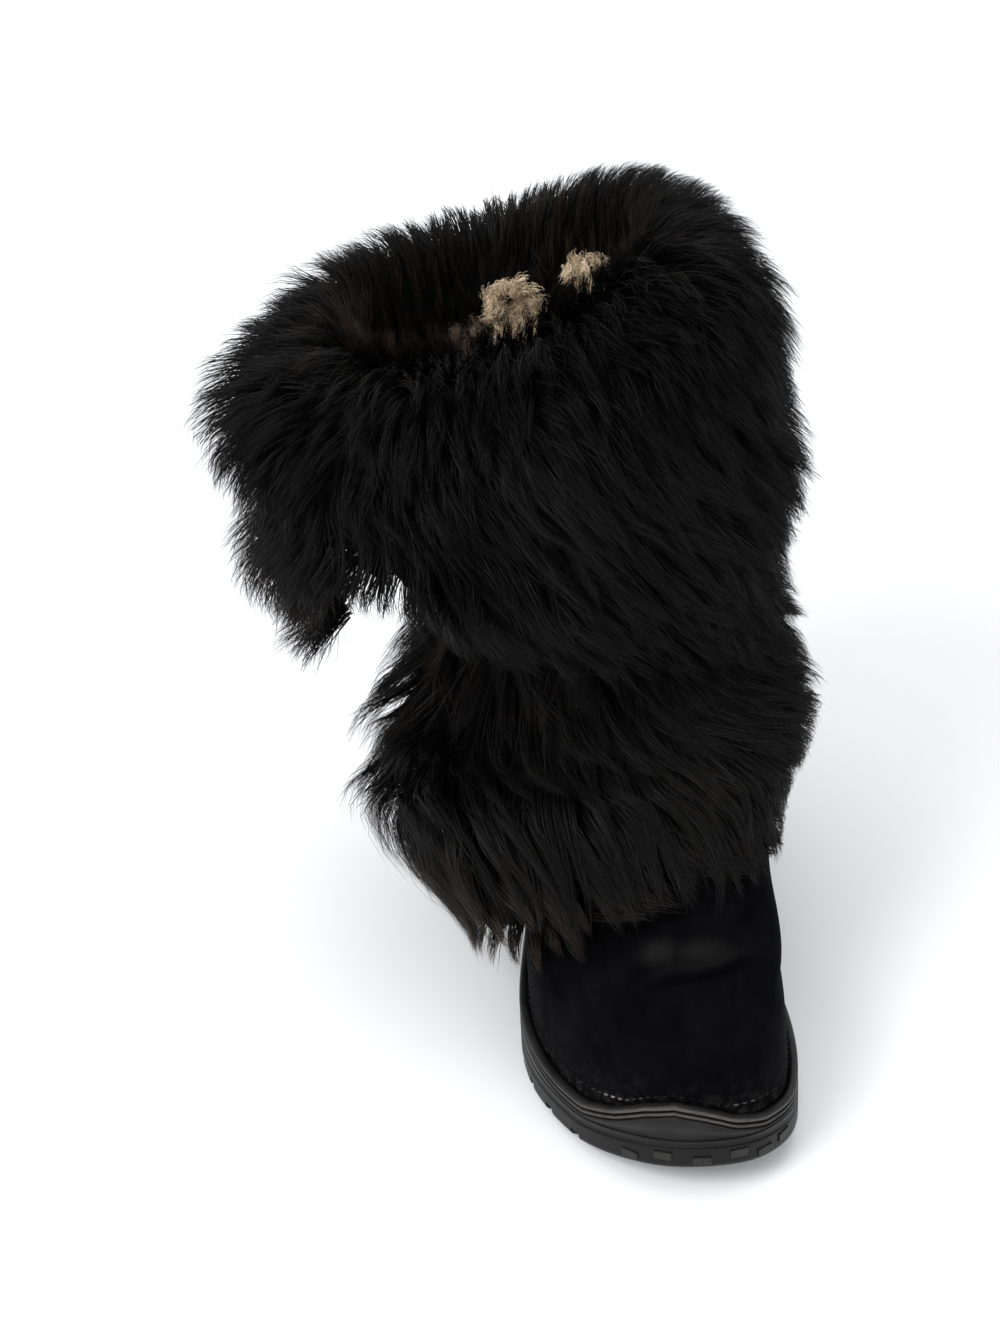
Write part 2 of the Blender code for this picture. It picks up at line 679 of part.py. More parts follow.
def make_cuff_fur(look):
    """The turned-down cuff: hooked over the collar, with tiers of locks down its outer face."""
    places = arounds(2 * FUR_LOCKS)
    inside = -(UPPER_WALL + FUR_GAP)
    rings = []

    def ring(row, skin, ragged=0.0, swell=0.0, tier=0):
        points = []
        for index, around in enumerate(places):
            crest = lock_swing(index, tier)
            uneven = 1 + 0.4 * math.sin(index * 1.9)
            down = row.down + ragged * crest * uneven
            points.append(cuff_point(around, down, row.rise, row.out, skin + swell * crest))
        rings.append(points)

    for row in CUFF_HOOK_ROWS:
        ring(row, inside)
    ring(CUFF_HOOK_ROWS[-1], FUR_GAP)
    for row in CUFF_BACK_ROWS:
        ring(row, FUR_GAP)
    for number, row in reversed(list(enumerate(CUFF_OUTER_ROWS))):
        tip = row.down == 1
        edge = number in CUFF_TIER_ENDS
        ragged = CUFF_HEM_RAGGED if tip else CUFF_RAGGED if edge else 0
        ring(row, FUR_GAP, ragged, 0 if tip else LOCK_DEPTH / 2, number // 3)
    for row in CUFF_INSIDE_ROWS:
        ring(row, inside, 0, LOCK_DEPTH / 3)
    return loop_solid("cuff_fur", rings, look)


def main():
    for old in list(bpy.data.objects):
        bpy.data.objects.remove(old, do_unlink=True)
    rubber = material("rubber", RUBBER_COLOUR, 0.45)
    suede = material("suede", SUEDE_COLOUR, 0.95)
    fur = material("fur", FUR_COLOUR, 0.80)
    felt = material("felt", FELT_COLOUR, 1.0)
    make_outsole(rubber)
    make_midsole(rubber)
    make_rand(rubber)
    make_insole(felt)
    make_upper(suede)
    make_shaft_fur(fur)
    make_cuff_fur(fur)


main()
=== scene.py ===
"""The finished right-foot mukluk boot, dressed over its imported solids: brushed suede foot, cupped rubber sole,
curly lining, and a long-haired shaft and turned-down cuff.

Metres, +Z up, the toe to -Y, the wearer's inner side at +X. Two numbers find a place on the boot: "around" runs
from 0 at the heel's back, along the inner side to 0.5 at the toe and back along the outer side to 1, and "climb"
from 0 at the sole to 16 at the collar. The sizes and tables of the sole, the upper and the fur are those that the
solids are built from. Beads, creases, stitches, wool and hairs are added here.
"""

import math
from collections import namedtuple
from types import SimpleNamespace

import bmesh
import bpy
import numpy as np
from mathutils import Matrix


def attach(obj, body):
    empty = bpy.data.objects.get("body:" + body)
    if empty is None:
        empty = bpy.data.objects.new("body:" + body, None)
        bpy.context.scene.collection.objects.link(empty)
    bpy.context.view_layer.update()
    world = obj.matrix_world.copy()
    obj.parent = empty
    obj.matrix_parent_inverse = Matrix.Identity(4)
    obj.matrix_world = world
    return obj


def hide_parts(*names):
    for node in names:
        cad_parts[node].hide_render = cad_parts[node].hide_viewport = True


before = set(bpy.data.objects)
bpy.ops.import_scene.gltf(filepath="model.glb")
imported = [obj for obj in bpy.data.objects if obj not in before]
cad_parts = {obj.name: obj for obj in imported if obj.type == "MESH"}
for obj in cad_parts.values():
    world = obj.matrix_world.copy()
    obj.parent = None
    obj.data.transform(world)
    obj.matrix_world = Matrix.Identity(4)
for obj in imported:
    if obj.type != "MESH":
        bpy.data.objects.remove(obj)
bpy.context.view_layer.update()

# Sizes of the last, the sole and the upper
SOLE_LENGTH = 0.270
BALL_WIDTH = 0.103
HEEL_STACK = 0.030
TOE_SPRING = 0.012
HEEL_CENTRE = 0.12
SOLE_EDGE = 0.0042
OUTSOLE_THICKNESS = 0.0085
LUG_DEPTH = 0.0038
GROOVE_WIDTH = 0.0046
RAND_HEIGHT = 0.0062
RAND_TUCK = 0.0044
COLLAR_RISE = 0.222
UPPER_WALL = 0.0026

# Sizes of the fur
SHAFT_FUR_DEPTH = 0.036
CUFF_FUR_DEPTH = 0.046
CUFF_CROWN = 0.021
SEAM_GAP = 0.0003
FUR_GAP = 0.0012
SHAFT_FUR_TOP = 13.4

# How finely the visible pieces are divided round the boot
SOLE_DIVISIONS = 264
SUEDE_DIVISIONS = 264
PELT_DIVISIONS = 176
LINING_DIVISIONS = 128

TURN = 2 * math.pi


class Rows:
    """A short table with named columns, read at any place between its rows on a smooth curve."""

    def __init__(self, columns, *rows):
        self.columns = columns.split()
        self.numbers = np.array([row[-len(self.columns):] for row in rows], float)

    def at(self, place):
        """Every column at a row's number, or between two rows."""
        last = len(self.numbers) - 1
        place = np.clip(np.asarray(place, float), 0, last)
        low = np.minimum(place.astype(int), last - 1)
        share = (place - low)[..., None]
        before, start, end, after = (self.numbers[np.clip(low + k, 0, last)] for k in (-1, 0, 1, 2))
        square, cube = share**2, share**3
        mixed = (
            start * (2 * cube - 3 * square + 1)
            + (end - before) / 2 * (cube - 2 * square + share)
            + end * (3 * square - 2 * cube)
            + (after - start) / 2 * (cube - square)
        )
        return SimpleNamespace(**dict(zip(self.columns, np.moveaxis(mixed, -1, 0))))

    def fine(self, steps):
        """Every column at even steps from the first row to the last."""
        return self.at(np.linspace(0, len(self.numbers) - 1, steps))

    def column(self, name):
        return self.numbers[:, self.columns.index(name)]

    def by(self, name, value):
        """Every column where one of them, which only grows, has a value."""
        return self.at(np.interp(value, self.column(name), np.arange(len(self.numbers))))

    def straight(self, name, value, wanted):
        """One column on straight lines between the rows."""
        return np.interp(value, self.column(name), self.column(wanted))


# The sole's outline from the heel's back round the inner side: share of the length, share of the ball's width
OUTLINE = Rows(
    "along across",
    ("heel back", 0.000, -0.010),
    ("heel back, inner", 0.032, 0.225),
    ("heel, inner", 0.125, 0.345),
    ("arch", 0.400, 0.345),
    ("first joint", 0.705, 0.500),
    ("great toe", 0.890, 0.470),
    ("great toe front", 0.977, 0.335),
    ("toe tip", 1.000, 0.130),
    ("third toe", 0.972, -0.130),
    ("little toe", 0.872, -0.365),
    ("fifth joint", 0.690, -0.500),
    ("outer waist", 0.400, -0.390),
    ("heel, outer", 0.125, -0.350),
    ("heel back, outer", 0.032, -0.245),
)

# Side view of the sole: tread's height over the toe spring, whole stack over the heel's, outsole's thickness
SOLE = Rows(
    "along lift stack outsole",
    (0.00, 0.20, 0.97, 1.25),
    (0.05, 0.00, 1.00, 1.10),
    (0.26, 0.00, 0.97, 1.00),
    (0.38, 0.34, 0.76, 0.90),
    (0.50, 0.00, 0.75, 0.95),
    (0.74, 0.00, 0.64, 1.00),
    (0.88, 0.28, 0.61, 1.05),
    (1.00, 1.00, 0.60, 1.15),
)

# Round the rim: how far its upper edge stands over the upper's lower edge, as a share of the rim's height
RIM = Rows(
    "around rise",
    (0.00, 1.00), (0.30, 1.00), (0.38, 0.70), (0.43, 0.38), (0.46, 0.38), (0.49, 0.85), (0.512, 1.65), (0.53, 2.05),
    (0.552, 1.70), (0.577, 0.90), (0.605, 0.40), (0.63, 0.45), (0.67, 0.85), (0.72, 1.00), (1.00, 1.00),
)

# The rim's outer face, up over two beads with a groove between: inset as a share of the sole's edge, drop below
# its upper edge as a share of its height
BEADS = Rows(
    "inset drop",
    (0.02, 1.04), (0.08, 0.97), (0.26, 0.91), (0.19, 0.86), (0.07, 0.79), (0.03, 0.70), (0.08, 0.61), (0.24, 0.55),
    (0.45, 0.50), (0.26, 0.45), (0.08, 0.39), (0.03, 0.30), (0.05, 0.20), (0.14, 0.11), (0.32, 0.04), (0.57, 0.00),
)

# The midsole's wall, up from the outsole: inset from the sole's edge, and share of its height
MIDSOLE_WALL = Rows(
    "inset share",
    (0.0004, 0.00), (0.0001, 0.05), (0.0003, 0.18), (0.0004, 0.40), (0.0002, 0.65), (0.0000, 0.92), (0.0003, 1.00),
)

# Rings of the upper from the sole to the collar
UPPER = Rows(
    "back_in back_up toe_in toe_up width rounding lean tip",
    ("feather line", 0.000, 0.000, 0.000, 0.000, 1.000, 0.00, 0.000, 0.000),
    ("rand line", 0.000, 0.057, 0.000, 0.055, 1.000, 0.00, 0.000, 0.000),
    ("toe wall", 0.000, 0.116, 0.008, 0.104, 0.998, 0.00, 0.000, 0.000),
    ("toe shoulder", 0.002, 0.163, 0.028, 0.147, 0.985, 0.00, 0.000, 0.000),
    ("toe top", 0.006, 0.205, 0.075, 0.177, 0.955, 0.04, 0.000, 0.000),
    ("toe crown", 0.010, 0.247, 0.140, 0.208, 0.962, 0.12, 0.025, 0.000),
    ("vamp", 0.015, 0.290, 0.215, 0.244, 0.975, 0.24, 0.056, 0.000),
    ("flex line", 0.020, 0.330, 0.285, 0.290, 0.988, 0.38, 0.082, 0.000),
    ("instep", 0.024, 0.372, 0.350, 0.348, 0.988, 0.52, 0.092, 0.000),
    ("high instep", 0.027, 0.425, 0.405, 0.420, 0.975, 0.68, 0.092, 0.000),
    ("throat", 0.027, 0.485, 0.452, 0.505, 0.962, 0.84, 0.060, 0.000),
    ("ankle", 0.024, 0.555, 0.485, 0.590, 0.955, 0.94, 0.010, 0.003),
    ("above ankle", 0.022, 0.635, 0.505, 0.670, 0.985, 1.00, -0.052, 0.010),
    ("low calf", 0.024, 0.720, 0.520, 0.750, 1.040, 1.00, -0.115, 0.024),
    ("calf", 0.030, 0.810, 0.532, 0.825, 1.120, 1.00, -0.185, 0.042),
    ("below collar", 0.038, 0.905, 0.542, 0.910, 1.230, 1.00, -0.270, 0.065),
    ("collar", 0.045, 1.000, 0.550, 1.000, 1.360, 1.00, -0.360, 0.090),
)
COLLAR = len(UPPER.numbers) - 1

# Down the shaft's fur, from under the cuff to past the tips: its depth as a share
SHAFT_COAT = Rows(
    "down depth",
    (0.00, 0.16),
    (0.16, 0.30),
    (0.27, 0.58),
    (0.40, 0.84),
    (0.50, 1.00),
    (0.64, 1.04),
    (0.76, 1.04),
    (0.90, 0.76),
    (1.00, 0.40),
    (1.12, 0.28),
    (1.30, 0.22),
)

# Round the shaft's fur: climb of its tips, its depth, how far the tips hang, and the comb's slant in degrees
HEM = Rows(
    "around tips depth hang slant",
    (0.00, 4.4, 0.85, 0.10, 0),
    (0.18, 6.2, 0.62, 0.00, -22),
    (0.34, 7.2, 0.58, 0.00, -46),
    (0.44, 7.2, 0.62, 0.00, -44),
    (0.50, 7.0, 0.72, 0.00, -36),
    (0.57, 6.2, 0.90, 0.00, -25),
    (0.63, 5.4, 1.12, 0.10, -13),
    (0.70, 3.7, 1.48, 0.30, -3),
    (0.80, 2.9, 1.48, 0.40, 4),
    (0.90, 3.6, 1.10, 0.25, 6),
    (1.00, 4.4, 0.85, 0.10, 0),
)

# The cuff in section, from its edge inside the mouth, over the crown and down to past the tips: how far down the
# leather, rise over the fold, distance out, and 1 where it is measured from the leather's inside
CUFF_COAT = Rows(
    "down rise out inside",
    ("inner edge", 0.200, 0.00, -0.06, 1),
    ("inside", 0.120, 0.00, -0.18, 1),
    ("mouth", 0.000, 0.10, -0.22, 1),
    ("lip", 0.000, 0.80, -0.12, 1),
    ("crown", 0.000, 1.00, 0.05, 1),
    ("outer crown", 0.000, 0.90, 0.36, 0),
    ("shoulder", 0.000, 0.50, 0.76, 0),
    ("brow", 0.060, 0.00, 0.98, 0),
    ("face", 0.200, 0.00, 1.03, 0),
    ("middle", 0.350, 0.00, 1.00, 0),
    ("lower face", 0.500, 0.00, 1.00, 0),
    ("bell", 0.660, 0.00, 1.00, 0),
    ("skirt", 0.840, 0.00, 0.86, 0),
    ("tips", 1.000, 0.00, 0.68, 0),
    ("past the tips", 1.120, 0.00, 0.61, 0),
    ("longest hairs", 1.360, 0.00, 0.48, 0),
)
CUFF_TIP_ROW = 13

# The back of the cuff's under-fur, from inside the mouth over the leather's edge and down its outside
CUFF_BACK = Rows(
    "down out inside",
    (0.17, 0.00, 1), (0.08, 0.00, 1), (0.00, 0.00, 1), (0.00, 0.00, 0), (0.15, 0.10, 0), (0.45, 0.22, 0),
    (0.80, 0.42, 0),
)

# Round the cuff: climb of its tips, depth, how far it stands out at the tips, the crown's share, the comb's slant
SPREAD = Rows(
    "around tips depth flare crown slant",
    (0.00, 11.6, 0.92, 0.15, 1.38, 0),
    (0.13, 11.7, 0.90, 0.05, 1.56, 6),
    (0.25, 11.8, 0.90, 0.00, 1.46, -8),
    (0.38, 11.7, 0.88, 0.05, 1.62, -20),
    (0.50, 11.6, 0.90, 0.10, 1.80, -26),
    (0.58, 11.8, 0.95, 0.38, 1.75, -24),
    (0.65, 12.7, 1.01, 0.75, 1.71, 6),
    (0.70, 11.5, 1.06, 1.18, 1.76, 8),
    (0.75, 10.5, 1.08, 1.32, 1.80, 0),
    (0.80, 10.8, 1.08, 1.12, 1.87, -4),
    (0.86, 11.4, 1.08, 0.85, 1.90, 4),
    (0.93, 11.5, 1.00, 0.45, 1.68, 4),
    (1.00, 11.6, 0.92, 0.15, 1.38, 0),
)

# Chevron grooves across the tread: share of the sole's length, and how far the point leads
GROOVES = Rows(
    "along lead",
    (0.045, 0.012), (0.200, -0.012), (0.275, -0.012), (0.465, 0.016), (0.525, 0.016),
    (0.585, 0.016), (0.700, 0.016), (0.760, 0.016), (0.820, 0.016), (0.880, 0.016),
)

# Lugs on the toe's front wall: how many, the step from one to the next round the boot, and width, depth and height
TOE_LUGS = 6
TOE_LUG_STEP = 0.026
TOE_LUG_SIZE = (0.0070, 0.0030, 0.0036)

# Stitches over the rand: height above the upper's lower edge, spacing, length and half thickness
STITCH_LINE = 0.0088
STITCH_PITCH = 0.0034
STITCH_LENGTH = 0.0023
STITCH_RADIUS = 0.00042
# Places around where the stitches look palest, and how pale they get there
PALE_STITCHES = ((0.578, 0.45), (0.478, 0.20))


def unit(vectors):
    """The vectors at length 1."""
    return vectors / np.maximum(np.linalg.norm(vectors, axis=-1, keepdims=True), 1e-12)


def smooth_step(value, low, high):
    """0 below low, 1 above high, and an even S between."""
    share = np.clip((value - low) / (high - low), 0, 1)
    return share * share * (3 - 2 * share)


def bell(value, centre, wide):
    """1 at the centre and falling away on both sides of it."""
    return np.exp(-(((value - centre) / wide) ** 2))


def beside(around, centre, wide):
    """1 at a place around and falling away on both sides of it, across the heel's back too."""
    return bell((around - centre + 0.5) % 1 - 0.5, 0, wide)


def unevenness(seed, *places):
    """A smooth wander between about -1 and 1 over some coordinates, the same each run."""
    dice = np.random.default_rng(seed)
    total = 0
    for _ in range(5):
        pace = dice.normal(size=len(places))
        total = total + np.sin(sum(p * k for p, k in zip(places, pace)) + dice.uniform(0, TURN))
    return total / 3


class Footprint:
    """The sole's outline drawn in by an inset: its width and its place along the boot at a place around."""

    def __init__(self, inset):
        count = len(OUTLINE.numbers)
        ring = Rows("along across", *OUTLINE.numbers[np.arange(-1, count + 2) % count])
        row = ring.at(1 + np.arange(count * 40) / 40)
        curve = np.stack([row.across * BALL_WIDTH, (HEEL_CENTRE - row.along) * SOLE_LENGTH], -1)
        tangent = np.roll(curve, -1, 0) - np.roll(curve, 1, 0)
        outward = unit(np.stack([-tangent[:, 1], tangent[:, 0]], -1))
        middle = np.array([0, (HEEL_CENTRE - 0.5) * SOLE_LENGTH])
        side = np.sign(((curve - middle) * outward).sum(1, keepdims=True))
        curve = curve - outward * side * inset
        curve = np.roll(curve, -curve[:, 1].argmax(), 0)
        toe = curve[:, 1].argmin()
        self.sides = curve[: toe + 1], np.concatenate([curve[:1], curve[: toe - 1 : -1]])
        self.back, self.toe = curve[0, 1], curve[toe, 1]

    def along(self, around):
        return (1 - np.cos(TURN * around)) / 2

    def across(self, around):
        y = self.back + (self.toe - self.back) * self.along(around)
        inner, outer = (np.interp(-y, np.maximum.accumulate(-s[:, 1]), s[:, 0]) for s in self.sides)
        return np.where(around % 1 <= 0.5, inner, outer)

    def point(self, around):
        return self.across(around), self.back + (self.toe - self.back) * self.along(around)


def place_along(y):
    """The share of the sole's length at y, from the heel's back."""
    return HEEL_CENTRE - y / SOLE_LENGTH


def tread_height(y):
    return SOLE.straight("along", place_along(y), "lift") * TOE_SPRING


def outsole_top(y):
    return tread_height(y) + SOLE.straight("along", place_along(y), "outsole") * OUTSOLE_THICKNESS


def feather_height(y):
    row = SOLE.by("along", place_along(y))
    return row.lift * TOE_SPRING + row.stack * HEEL_STACK


LAST = Footprint(SOLE_EDGE)


def upper_surface(climb, around):
    """Points on the upper's outer face."""
    climb, around = np.broadcast_arrays(np.asarray(climb, float), np.asarray(around, float))
    row = UPPER.at(climb)
    share = LAST.along(around)
    back = LAST.back - row.back_in * SOLE_LENGTH
    toe = LAST.toe + row.toe_in * SOLE_LENGTH
    y = back + (toe - back) * share
    swing = np.sin(TURN * around)
    x = LAST.across(around) * (1 - row.rounding) + swing * (BALL_WIDTH / 2 - SOLE_EDGE) * row.rounding
    rise = row.back_up + (row.toe_up - row.back_up) * share + row.tip * swing
    height = feather_height(y) + SEAM_GAP + rise * COLLAR_RISE
    return np.stack([x * row.width + row.lean * BALL_WIDTH, y, height], -1)


def upper_normal(climb, around):
    """Outward directions of the upper's outer face."""
    low, high = np.clip(climb - 0.02, 0, COLLAR), np.clip(climb + 0.02, 0, COLLAR)
    up = upper_surface(high, around) - upper_surface(low, around)
    along = upper_surface(climb, around + 0.002) - upper_surface(climb, around - 0.002)
    normal = unit(np.cross(along, up))
    outward = upper_surface(climb, around)
    outward = outward - np.stack([0 * around, upper_surface(climb, 0 * around + 0.25)[..., 1], outward[..., 2]], -1)
    outward[..., 2] = 0.02
    facing = np.sign((normal * outward).sum(-1, keepdims=True))
    return normal * np.where(facing == 0, 1, facing)


def cuff_point(around, down, rise, out, inside):
    """Points of the cuff: down from the collar along the leather, then up, and out or in from its face."""
    spread = SPREAD.by("around", around % 1)
    climb = np.minimum(COLLAR + (spread.tips - COLLAR) * down, COLLAR)
    reach = out * (spread.depth + spread.flare * np.maximum(down, 0) ** 2) * CUFF_FUR_DEPTH
    normal = upper_normal(climb, around)
    level = unit(normal * (1, 1, 0))
    skin = FUR_GAP * (1 - inside) - (UPPER_WALL + FUR_GAP) * inside
    lift = np.zeros_like(normal)
    lift[..., 2] = rise * CUFF_CROWN * spread.crown
    return upper_surface(climb, around) + normal * skin[..., None] + level * reach[..., None] + lift


def cuff_runs():
    """How far along the cuff's section each of its rows lies, with 1 at the tips."""
    rows = len(CUFF_COAT.numbers)
    points = cuff_point(np.full(rows, 0.6), *CUFF_COAT.numbers.T)
    steps = np.linalg.norm(np.diff(points, axis=0), axis=1)
    runs = np.concatenate([[0], np.cumsum(steps)])
    return runs / runs[CUFF_TIP_ROW]


CUFF_RUNS = cuff_runs()


def lay_cuff(around, run, height):
    """A place in the cuff's fur. Height is 0 at the pelt and 1 at the coat's outer face."""
    around, run, height = np.broadcast_arrays(around, run, height)
    row = CUFF_COAT.at(np.interp(run, CUFF_RUNS, np.arange(len(CUFF_RUNS))))
    return cuff_point(around, row.down, row.rise * height, row.out * height, np.clip(row.inside, 0, 1))


def lay_shaft(around, run, height):
    """A place in the shaft's fur, with run 0 under the cuff and 1 at the tips."""
    around, run, height = np.broadcast_arrays(around, run, height)
    hem = HEM.by("around", around % 1)
    climb = SHAFT_FUR_TOP + (hem.tips - SHAFT_FUR_TOP) * run
    normal = upper_normal(climb, around)
    level = unit(normal * (1, 1, 0))
    upright = np.clip((climb - 8) / 3, 0, 1)[..., None]
    outward = unit(normal * (1 - upright) + level * upright)
    depth = SHAFT_COAT.by("down", run).depth * hem.depth * SHAFT_FUR_DEPTH
    depth = np.where(run > 0.9, depth * (1 - (run - 0.9) * 2 * (1 - hem.depth) / hem.depth), depth)
    hang = np.zeros_like(normal)
    hang[..., 2] = -hem.hang * SHAFT_FUR_DEPTH * np.clip(run, 0, 1.1) ** 3
    return upper_surface(climb, around) + outward * (FUR_GAP + depth * height)[..., None] + hang


class Signal:
    """A value in a material's nodes. Arithmetic on it adds Math nodes."""

    def __init__(self, finish, socket):
        self.finish, self.socket = finish, socket

    def combine(self, operation, *values):
        node = self.finish.node("ShaderNodeMath", {"operation": operation}, dict(enumerate(values)))
        return Signal(self.finish, node.outputs[0])

    def __add__(self, other):
        return self.combine("ADD", self, other)

    def __radd__(self, other):
        return self.combine("ADD", other, self)

    def __mul__(self, other):
        return self.combine("MULTIPLY", self, other)

    def __rmul__(self, other):
        return self.combine("MULTIPLY", other, self)

    def between(self, low, high):
        """0 at low and below, 1 at high and above, and an even S between."""
        node = self.finish.node(
            "ShaderNodeMapRange",
            {"interpolation_type": "SMOOTHSTEP"},
            {"Value": self, "From Min": low, "From Max": high},
        )
        return Signal(self.finish, node.outputs["Result"])


class Finish:
    """A material being made, with one way to add any node."""

    def __init__(self, name, **shader):
        self.material = bpy.data.materials.new(name)
        self.material.use_nodes = True
        self.tree = self.material.node_tree
        self.shader = self.tree.nodes["Principled BSDF"]
        self.place = self.node("ShaderNodeTexCoord").outputs["Object"]
        for name, value in shader.items():
            self.feed(self.shader.inputs[name.replace("_", " ")], value)

    def node(self, kind, settings=None, inputs=None):
        """A node of a type, with its settings made first, then its sockets' values or links."""
        made = self.tree.nodes.new(kind)
        for name, value in (settings or {}).items():
            setattr(made, name, value)
        for name, value in (inputs or {}).items():
            self.feed(made.inputs[name], value)
        return made

    def feed(self, socket, value):
        if isinstance(value, Signal):
            value = value.socket
        if isinstance(value, bpy.types.NodeSocket):
            self.tree.links.new(value, socket)
        elif isinstance(value, tuple) and len(value) == 3 and socket.type == "RGBA":
            socket.default_value = (*value, 1)
        else:
            socket.default_value = value

    def grain(self, size, detail, roughness, stretch=None, seed=0.0):
        """Noise whose features have a size in metres, drawn out along some axes by a stretch."""
        place = self.place
        if stretch:
            place = self.node(
                "ShaderNodeVectorMath",
                {"operation": "MULTIPLY"},
                {0: self.place, 1: tuple(1 / s for s in stretch)},
            ).outputs[0]
        if seed:
            place = self.node("ShaderNodeVectorMath", {"operation": "ADD"}, {0: place, 1: (seed, seed, 0)}).outputs[0]
        node = self.node(
            "ShaderNodeTexNoise",
            {"noise_dimensions": "3D"},
            {"Vector": place, "Scale": 1 / size, "Detail": detail, "Roughness": roughness},
        )
        return Signal(self, node.outputs[0])

    def mark(self, name):
        """A value that the piece's mesh carries at its points."""
        return Signal(self, self.node("ShaderNodeAttribute", {"attribute_name": name}).outputs["Fac"])

    def tinted(self, mask, under, over):
        """Colour under where the mask is 0 and over where it is 1."""
        return self.node("ShaderNodeMix", {"data_type": "RGBA"}, {0: mask, 6: under, 7: over}).outputs[2]

    def relief(self, height, depth, strength):
        """Bumps of a depth in metres for a height from 0 to 1."""
        node = self.node("ShaderNodeBump", None, {"Strength": strength, "Distance": depth, "Height": height})
        self.feed(self.shader.inputs["Normal"], node.outputs[0])

    def set(self, name, value):
        self.feed(self.shader.inputs[name], value)


def fur_finish():
    """Near-black hair with a silky shine, browner where the mesh marks it pale; that mark also carries painted light
    and shade.
    """
    fur = Finish("long_black_fur", Roughness=0.42, Specular_IOR_Level=0.064)
    black, brown, pale = (0.0014, 0.0013, 0.0014), (0.0088, 0.0077, 0.0071), (0.062, 0.045, 0.033)
    tone = fur.mark("pale")
    colour = fur.tinted(tone.between(0.0, 0.5), black, brown)
    fur.set("Base Color", fur.tinted(tone.between(0.5, 1.0), colour, pale))
    return fur.material


def pelt_finish():
    """The dense under-fur seen between the locks."""
    pelt = Finish("under_fur", Roughness=0.95, Specular_IOR_Level=0.10)
    strands = pelt.grain(0.0016, 4, 0.6, stretch=(1, 1, 5))
    colour = pelt.tinted(strands.between(0.35, 0.75), (0.0020, 0.0020, 0.0020), (0.0050, 0.0046, 0.0043))
    pelt.set("Base Color", colour)
    pelt.relief(strands, 0.0012, 0.8)
    return pelt.material


def suede_finish():
    """Blue-black suede: brushed nap in drifting patches, a rubbed vamp with a painted highlight, painted shade in its
    creases, and dust where it meets the rand.
    """
    suede = Finish(
        "brushed_suede", Roughness=0.88, Specular_IOR_Level=0.028, Sheen_Weight=0.007, Sheen_Roughness=0.40,
        Sheen_Tint=(0.62, 0.64, 0.70),
    )
    nap = suede.grain(0.0011, 4, 0.65, stretch=(1, 1.8, 1))
    drift = suede.grain(0.022, 3, 0.55)
    brushed = suede.grain(0.006, 2, 0.5, stretch=(1, 2.6, 1), seed=7.0)
    rubbed = suede.mark("rubbed")
    tone = drift.between(0.36, 0.70) * 0.55 + brushed.between(0.40, 0.68) * 0.35
    colour = suede.tinted(tone, (0.0009, 0.0009, 0.0013), (0.0029, 0.0029, 0.0037))
    # Wear and painted highlight make the vamp's patches, the toe and the proud ridges paler
    worn = (rubbed * (0.55 + nap * 0.9)).between(0.05, 0.95)
    colour = suede.tinted(worn, colour, (0.0085, 0.0085, 0.0082))
    # Painted shade darkens the suede in its creases
    colour = suede.tinted(suede.mark("painted_crease_shade"), colour, (0.0003, 0.0003, 0.0004))
    dust = suede.mark("dusty") * suede.grain(0.004, 4, 0.7, seed=3.0).between(0.45, 0.75)
    suede.set("Base Color", suede.tinted(dust * 0.6, colour, (0.016, 0.015, 0.014)))
    suede.relief(nap * 0.7 + brushed * 0.3, 0.00045, 0.9)
    return suede.material


def rubber_finish(name, dark, light, shine):
    """Moulded rubber with a fine grain, paler where the mesh marks it: rubbed on its high edges, and a painted
    highlight on the lug tops and bead crests.
    """
    rubber = Finish(name, Specular_IOR_Level=0.18)
    cloud = rubber.grain(0.016, 4, 0.6)
    speck = rubber.grain(0.0012, 3, 0.7, seed=5.0)
    scratch = rubber.grain(0.0020, 3, 0.6, stretch=(7, 7, 0.6), seed=2.0)
    rubbed = rubber.mark("rubbed")
    tone = cloud.between(0.35, 0.70) * 0.5 + speck.between(0.55, 0.80) * 0.25
    colour = rubber.tinted(tone, dark, light)
    # Worn edges and the painted highlight on lugs and bead crests share this paler colour
    wear_highlight_mix = (rubbed * (0.35 + scratch)).between(0.30, 1.00)
    rubber.set("Base Color", rubber.tinted(wear_highlight_mix, colour, tuple(c * 3.6 for c in light)))
    rubber.set("Roughness", shine + cloud * 0.16 + scratch.between(0.5, 0.8) * 0.12)
    rubber.relief(speck * 0.6 + scratch * 0.4, 0.00012, 0.5)
    return rubber.material


def wool_finish():
    """Curly cream wool, darker and browner at the roots."""
    wool = Finish("curly_wool", Roughness=0.95, Specular_IOR_Level=0.15, Sheen_Weight=0.25, Sheen_Roughness=0.5)
    curls = wool.grain(0.0035, 4, 0.6)
    colour = wool.tinted(curls.between(0.30, 0.70), (0.60, 0.440, 0.275), (0.95, 0.800, 0.580))
    wool.set("Base Color", wool.tinted(wool.mark("pale"), (0.075, 0.048, 0.030), colour))
    wool.relief(curls, 0.0016, 0.8)
    return wool.material


def felt_finish():
    """The footbed's flattened pile."""
    felt = Finish("felt_footbed", Roughness=1.0, Specular_IOR_Level=0.10, Sheen_Weight=0.2)
    pile = felt.grain(0.0022, 5, 0.65)
    felt.set("Base Color", felt.tinted(pile.between(0.3, 0.7), (0.20, 0.150, 0.095), (0.50, 0.41, 0.29)))
    felt.relief(pile, 0.0010, 0.9)
    return felt.material


def thread_finish():
    """Waxed thread, pale where the mesh marks it."""
    thread = Finish("waxed_thread", Roughness=0.6, Specular_IOR_Level=0.06)
    twist = thread.grain(0.0006, 2, 0.5)
    thread.set("Base Color", thread.tinted(thread.mark("pale"), (0.0030, 0.0030, 0.0034), (0.30, 0.27, 0.24)))
    thread.relief(twist, 0.00015, 0.6)
    return thread.material


